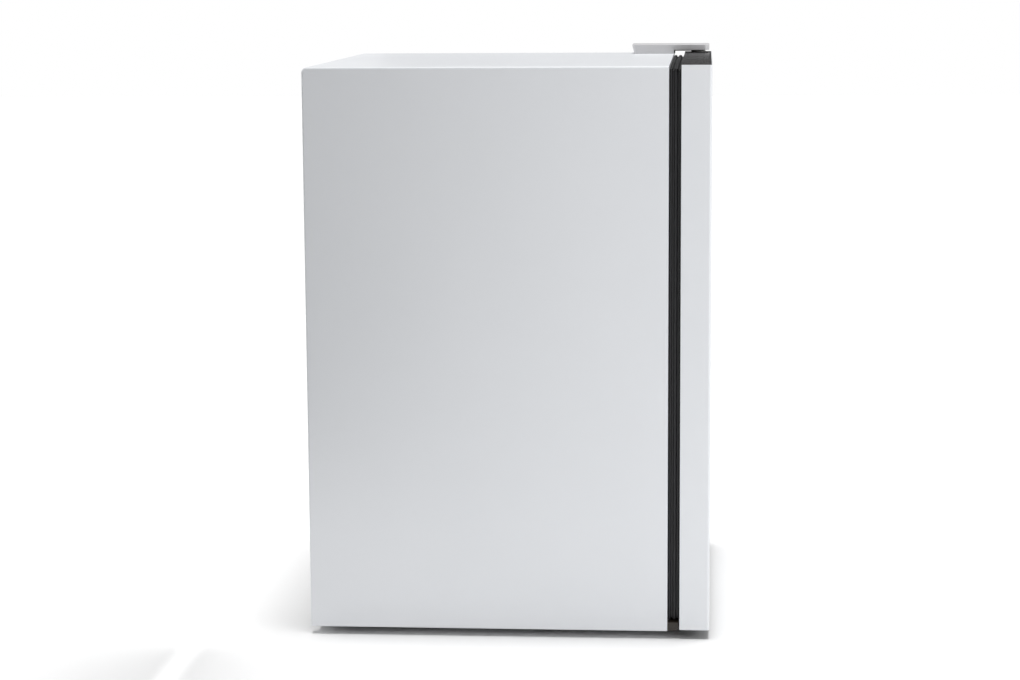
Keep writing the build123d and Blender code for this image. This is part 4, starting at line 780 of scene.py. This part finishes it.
bin_wall, bin_front, bin_rear, bin_rim, bin_ribs = 1.8 * MM, 12 * MM, 2 * MM, 1.2 * MM, 13
ear_reach, ear_size, ear_edge = 4.1 * MM, 12 * MM, 0.6 * MM
ear_lift, ear_root, ear_setback = 0.1 * MM, 1.6 * MM, 3.5 * MM
for node in ("door_bin_upper", "door_bin_lower"):
    low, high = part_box(node)
    tray_low = Vector((low.x + ear_reach, low.y, low.z))
    tray_high = Vector((high.x - ear_reach, high.y, high.z))
    form = tray_form(tray_low, tray_high, bin_wall, bin_front, bin_rear, bin_rim, bin_ribs)
    ear_low_z = low.z + (high.z - low.z) / 2 + ear_lift
    for outer, inner in ((low.x, tray_low.x + ear_root), (high.x, tray_high.x - ear_root)):
        x_low, x_high = min(outer, inner), max(outer, inner)
        ear_front = low.y + ear_setback
        ear_from = Vector((x_low, ear_front, ear_low_z))
        ear_to = Vector((x_high, ear_front + ear_size, ear_low_z + ear_size))
        add_block(form, ear_from, ear_to, ear_edge)
    bin_mesh = shaded(form, node + "_moulded", 40.0)
    place_piece(node + "_moulded", bin_mesh, body_of[node], clear_tint, (node,))

low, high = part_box("drip_tray")
tray_wall, tray_corner, tray_rim = 1.8 * MM, 6 * MM, 1.0 * MM
tray = tray_form(low, high, tray_wall, tray_corner, tray_corner, tray_rim, 0)
tray = shaded(tray, "drip_tray_moulded", 40.0)
place_piece("drip_tray_moulded", tray, "drip_tray", clear_tint, ("drip_tray",))

# ------------------------------------------------------------------------------------------
# Thermostat. A white moulded box on the right wall, with a scalloped knob that carries the
# numbers 0 to 7 round its face.

softened_piece("thermostat_housing", 0.4 * MM, lining_white)
softened_piece("thermostat_switch", 0.5 * MM, black_paint)
softened_piece("thermostat_shaft", 0.2 * MM, plated)
ink = finish("grey_print", (0.05, 0.06, 0.07), (0.08, 0.09, 0.10), 300.0, (0.5, 0.6), 900.0, 0.00001)
knob_low, knob_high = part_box("thermostat_knob")
knob_centre = (knob_low + knob_high) / 2
knob_radius = (knob_high.x - knob_low.x) / 2
skirt_depth, grip_half = 5 * MM, Vector((3.5 * MM, 0, 11 * MM))


def scalloped_knob():
    """Skirt with a finely scalloped rim and a domed face, and a grip bar across it."""
    form = bmesh.new()
    turns, scallops, scallop_depth = 144, 36, 0.35 * MM
    grip_sunk, grip_edge = 0.5 * MM, 1.6 * MM
    back, face = knob_high.y, knob_high.y - skirt_depth
    profile = [(0.98, back), (1.0, back - 0.6 * MM), (1.0, face + 0.9 * MM)]
    profile += [(0.95, face + 0.15 * MM), (0.88, face)]
    loops = []
    for share, y in profile:
        loop = []
        for turn in range(turns):
            angle = 2 * math.pi * turn / turns
            dip = scallop_depth * (0.5 - 0.5 * math.cos(angle * scallops)) if share > 0.97 else 0.0
            radius = knob_radius * share - dip
            x = knob_centre.x + radius * math.cos(angle)
            z = knob_centre.z + radius * math.sin(angle)
            loop.append(form.verts.new((x, y, z)))
        loops.append(loop)
    for lower, upper in zip(loops, loops[1:]):
        for turn in range(turns):
            after = (turn + 1) % turns
            form.faces.new((lower[turn], lower[after], upper[after], upper[turn]))
    form.faces.new(loops[0])
    form.faces.new(loops[-1][::-1])
    bmesh.ops.recalc_face_normals(form, faces=form.faces)
    add_block(
        form, Vector((knob_centre.x, knob_low.y, knob_centre.z)) - grip_half,
        Vector((knob_centre.x, face + grip_sunk, knob_centre.z)) + grip_half, grip_edge,
    )
    return form


place_piece(
    "thermostat_knob_moulded", shaded(scalloped_knob(), "thermostat_knob_moulded", 35.0),
    "thermostat", frame_white, ("thermostat_knob",),
)

digit_height, digit_reach, digit_relief = 3.0 * MM, 9.6 * MM, 0.12 * MM
capital_share, first_digit, digit_pitch = 0.7, 140, 40
digits = bmesh.new()
for value in range(8):
    angle = math.radians(first_digit - digit_pitch * value)
    letter = bpy.data.curves.new("dial_number", "FONT")
    letter.body = str(value)
    letter.size = digit_height / capital_share
    letter.align_x, letter.align_y = "CENTER", "CENTER"
    letter.extrude = digit_relief
    letter_object = bpy.data.objects.new("dial_number", letter)
    scene.collection.objects.link(letter_object)
    seen_letter = letter_object.evaluated_get(bpy.context.evaluated_depsgraph_get())
    flat = bpy.data.meshes.new_from_object(seen_letter)
    bpy.data.objects.remove(letter_object)
    beside = knob_centre.x - digit_reach * math.sin(angle)
    above = knob_centre.z + digit_reach * math.cos(angle)
    spot = Vector((beside, knob_high.y - skirt_depth, above))
    facing = Matrix.Rotation(-angle, 4, "Y") @ Matrix.Rotation(math.pi / 2, 4, "X")
    flat.transform(Matrix.Translation(spot) @ facing)
    digits.from_mesh(flat)
    bpy.data.meshes.remove(flat)
bmesh.ops.remove_doubles(digits, verts=digits.verts, dist=0.001 * MM)
digit_mesh = shaded(digits, "dial_numbers", 30.0)
place_piece("dial_numbers", digit_mesh, "thermostat", ink)

# ------------------------------------------------------------------------------------------
# Compressor. Two deep-drawn steel cups welded at a raised seam, in black enamel. It stands on
# a welded plate, over four rubber mounts that are bolted through the base plate.

shell_low, shell_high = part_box("compressor")
shell_centre = (shell_low + shell_high) / 2
seam_out = 3 * MM
shell_radii = ((shell_high.x - shell_low.x) / 2 - seam_out, (shell_high.y - shell_low.y) / 2 - seam_out)
seam_level = 65 * MM


def drawn_shell():
    """Oval cups with domed ends and a rolled seam between them."""
    form = bmesh.new()
    turns, arc_steps, curve = 96, 10, 27 * MM
    height = shell_high.z - shell_low.z
    profile = []
    for step in range(arc_steps + 1):
        angle = math.pi / 2 * step / arc_steps
        profile.append((-curve * (1 - math.sin(angle)), curve * (1 - math.cos(angle))))
    profile.append((0.0, seam_level - 0.4 * MM))
    profile += [(seam_out * 0.8, seam_level), (seam_out, seam_level + 0.7 * MM)]
    profile += [(seam_out, seam_level + 2.3 * MM), (seam_out * 0.8, seam_level + 3 * MM)]
    profile.append((0.0, seam_level + 3.6 * MM))
    for step in range(arc_steps, -1, -1):
        angle = math.pi / 2 * step / arc_steps
        profile.append((-curve * (1 - math.sin(angle)), height - curve * (1 - math.cos(angle))))
    loops = []
    for out, z in profile:
        loops.append([
            form.verts.new((
                shell_centre.x + (shell_radii[0] + out) * math.cos(2 * math.pi * turn / turns),
                shell_centre.y + (shell_radii[1] + out) * math.sin(2 * math.pi * turn / turns),
                shell_low.z + z,
            ))
            for turn in range(turns)
        ])
    for lower, upper in zip(loops, loops[1:]):
        for turn in range(turns):
            after = (turn + 1) % turns
            form.faces.new((lower[turn], lower[after], upper[after], upper[turn]))
    form.faces.new(loops[0][::-1])
    form.faces.new(loops[-1])
    bmesh.ops.recalc_face_normals(form, faces=form.faces)
    return form


place_piece(
    "compressor_drawn", shaded(drawn_shell(), "compressor_drawn", 40.0),
    "cabinet", black_paint, ("compressor",),
)
rubber = finish(
    "black_rubber", (0.012, 0.012, 0.012), (0.022, 0.022, 0.022), 200.0, (0.55, 0.7), 800.0, 0.00005,
)
switch_black = finish(
    "phenolic_black", (0.02, 0.02, 0.021), (0.034, 0.034, 0.036), 80.0, (0.4, 0.55), 900.0, 0.00005,
)
softened_piece("compressor_plate", 0.3 * MM, black_paint)
softened_piece("compressor_grommets", 0.5 * MM, rubber)
softened_piece("compressor_bolts", 0.25 * MM, plated)
softened_piece("relay_box", 0.6 * MM, switch_black)
softened_piece("cord_gland", 0.4 * MM, foot_black)

# ------------------------------------------------------------------------------------------
# Refrigerant lines. Drawn copper tube, dulled where it has been handled and heated.

copper = finish(
    "drawn_copper", (0.42, 0.17, 0.09), (0.72, 0.36, 0.22), 70.0, (0.25, 0.48), 900.0, 0.00002, Metallic=1.0,
)
copper_nodes = (
    "wall_coil_left", "wall_coil_right", "suction_line", "discharge_line", "drier_inlet_line",
    "capillary_line", "filter_drier",
)
for node in copper_nodes:
    repaint(node, copper)

# ------------------------------------------------------------------------------------------
# Door. A powder-coated sheet folded round the front and sides, closed by glossy dark end
# caps, filled with foam and backed by a formed white liner.

cap_gloss = finish(
    "cap_gloss", (0.020, 0.019, 0.020), (0.030, 0.028, 0.029), 20.0, (0.20, 0.26), 500.0, 0.00001,
    Specular_IOR_Level=0.3,
)
softened_piece("door_skin", 0.25 * MM, white_paint, whole_flats=False)
softened_piece("door_top_cap", 0.5 * MM, cap_gloss)
softened_piece("door_bottom_cap", 0.5 * MM, cap_gloss)
softened_piece("door_liner", 0.6 * MM, lining_white)
repaint("door_foam", foam)

# ------------------------------------------------------------------------------------------
# Door seal. Extruded black vinyl with a base, a bellows and a magnet pocket, welded at
# mitred corners into one frame and pressed against the door liner.

vinyl = finish(
    "black_vinyl", (0.008, 0.008, 0.009), (0.016, 0.016, 0.017), 60.0, (0.34, 0.46), 700.0, 0.00003,
)
seal_low, seal_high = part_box("door_seal")
seal_width, groove_depth = 14 * MM, 2 * MM
base_depth, rib_depth, magnet_depth = 1.8 * MM, 4.4 * MM, 3.6 * MM
groove = (seal_high.y - seal_low.y - base_depth - rib_depth - magnet_depth) / 2


def seal_profile():
    """The closed section: three rounded lobes on the outer side, then three on the inner."""
    starts = [seal_low.y, seal_low.y + base_depth + groove, seal_high.y - magnet_depth]
    depths = [base_depth, rib_depth, magnet_depth]
    steps = 8
    outer = []
    for start, depth in zip(starts, depths):
        for step in range(steps + 1):
            angle = math.pi * step / steps
            bulge = math.sin(angle) ** 0.7
            outer.append((groove_depth * (1 - bulge), start + depth * (0.5 - 0.5 * math.cos(angle))))
    inner = [(seal_width - inset, y) for inset, y in reversed(outer)]
    return outer + inner


def mitred_seal():
    """The section carried round the door's four sides with mitred corners."""
    form = bmesh.new()
    rings = []
    for inset, y in seal_profile():
        x0, x1 = seal_low.x + inset, seal_high.x - inset
        z0, z1 = seal_low.z + inset, seal_high.z - inset
        corners = ((x0, y, z0), (x1, y, z0), (x1, y, z1), (x0, y, z1))
        rings.append([form.verts.new(corner) for corner in corners])
    for ring, following in zip(rings, rings[1:] + rings[:1]):
        for side in range(4):
            after = (side + 1) % 4
            form.faces.new((ring[side], ring[after], following[after], following[side]))
    bmesh.ops.recalc_face_normals(form, faces=form.faces)
    return form


place_piece(
    "door_seal_mitred", shaded(mitred_seal(), "door_seal_mitred", 40.0),
    "door", vinyl, ("door_seal",),
)
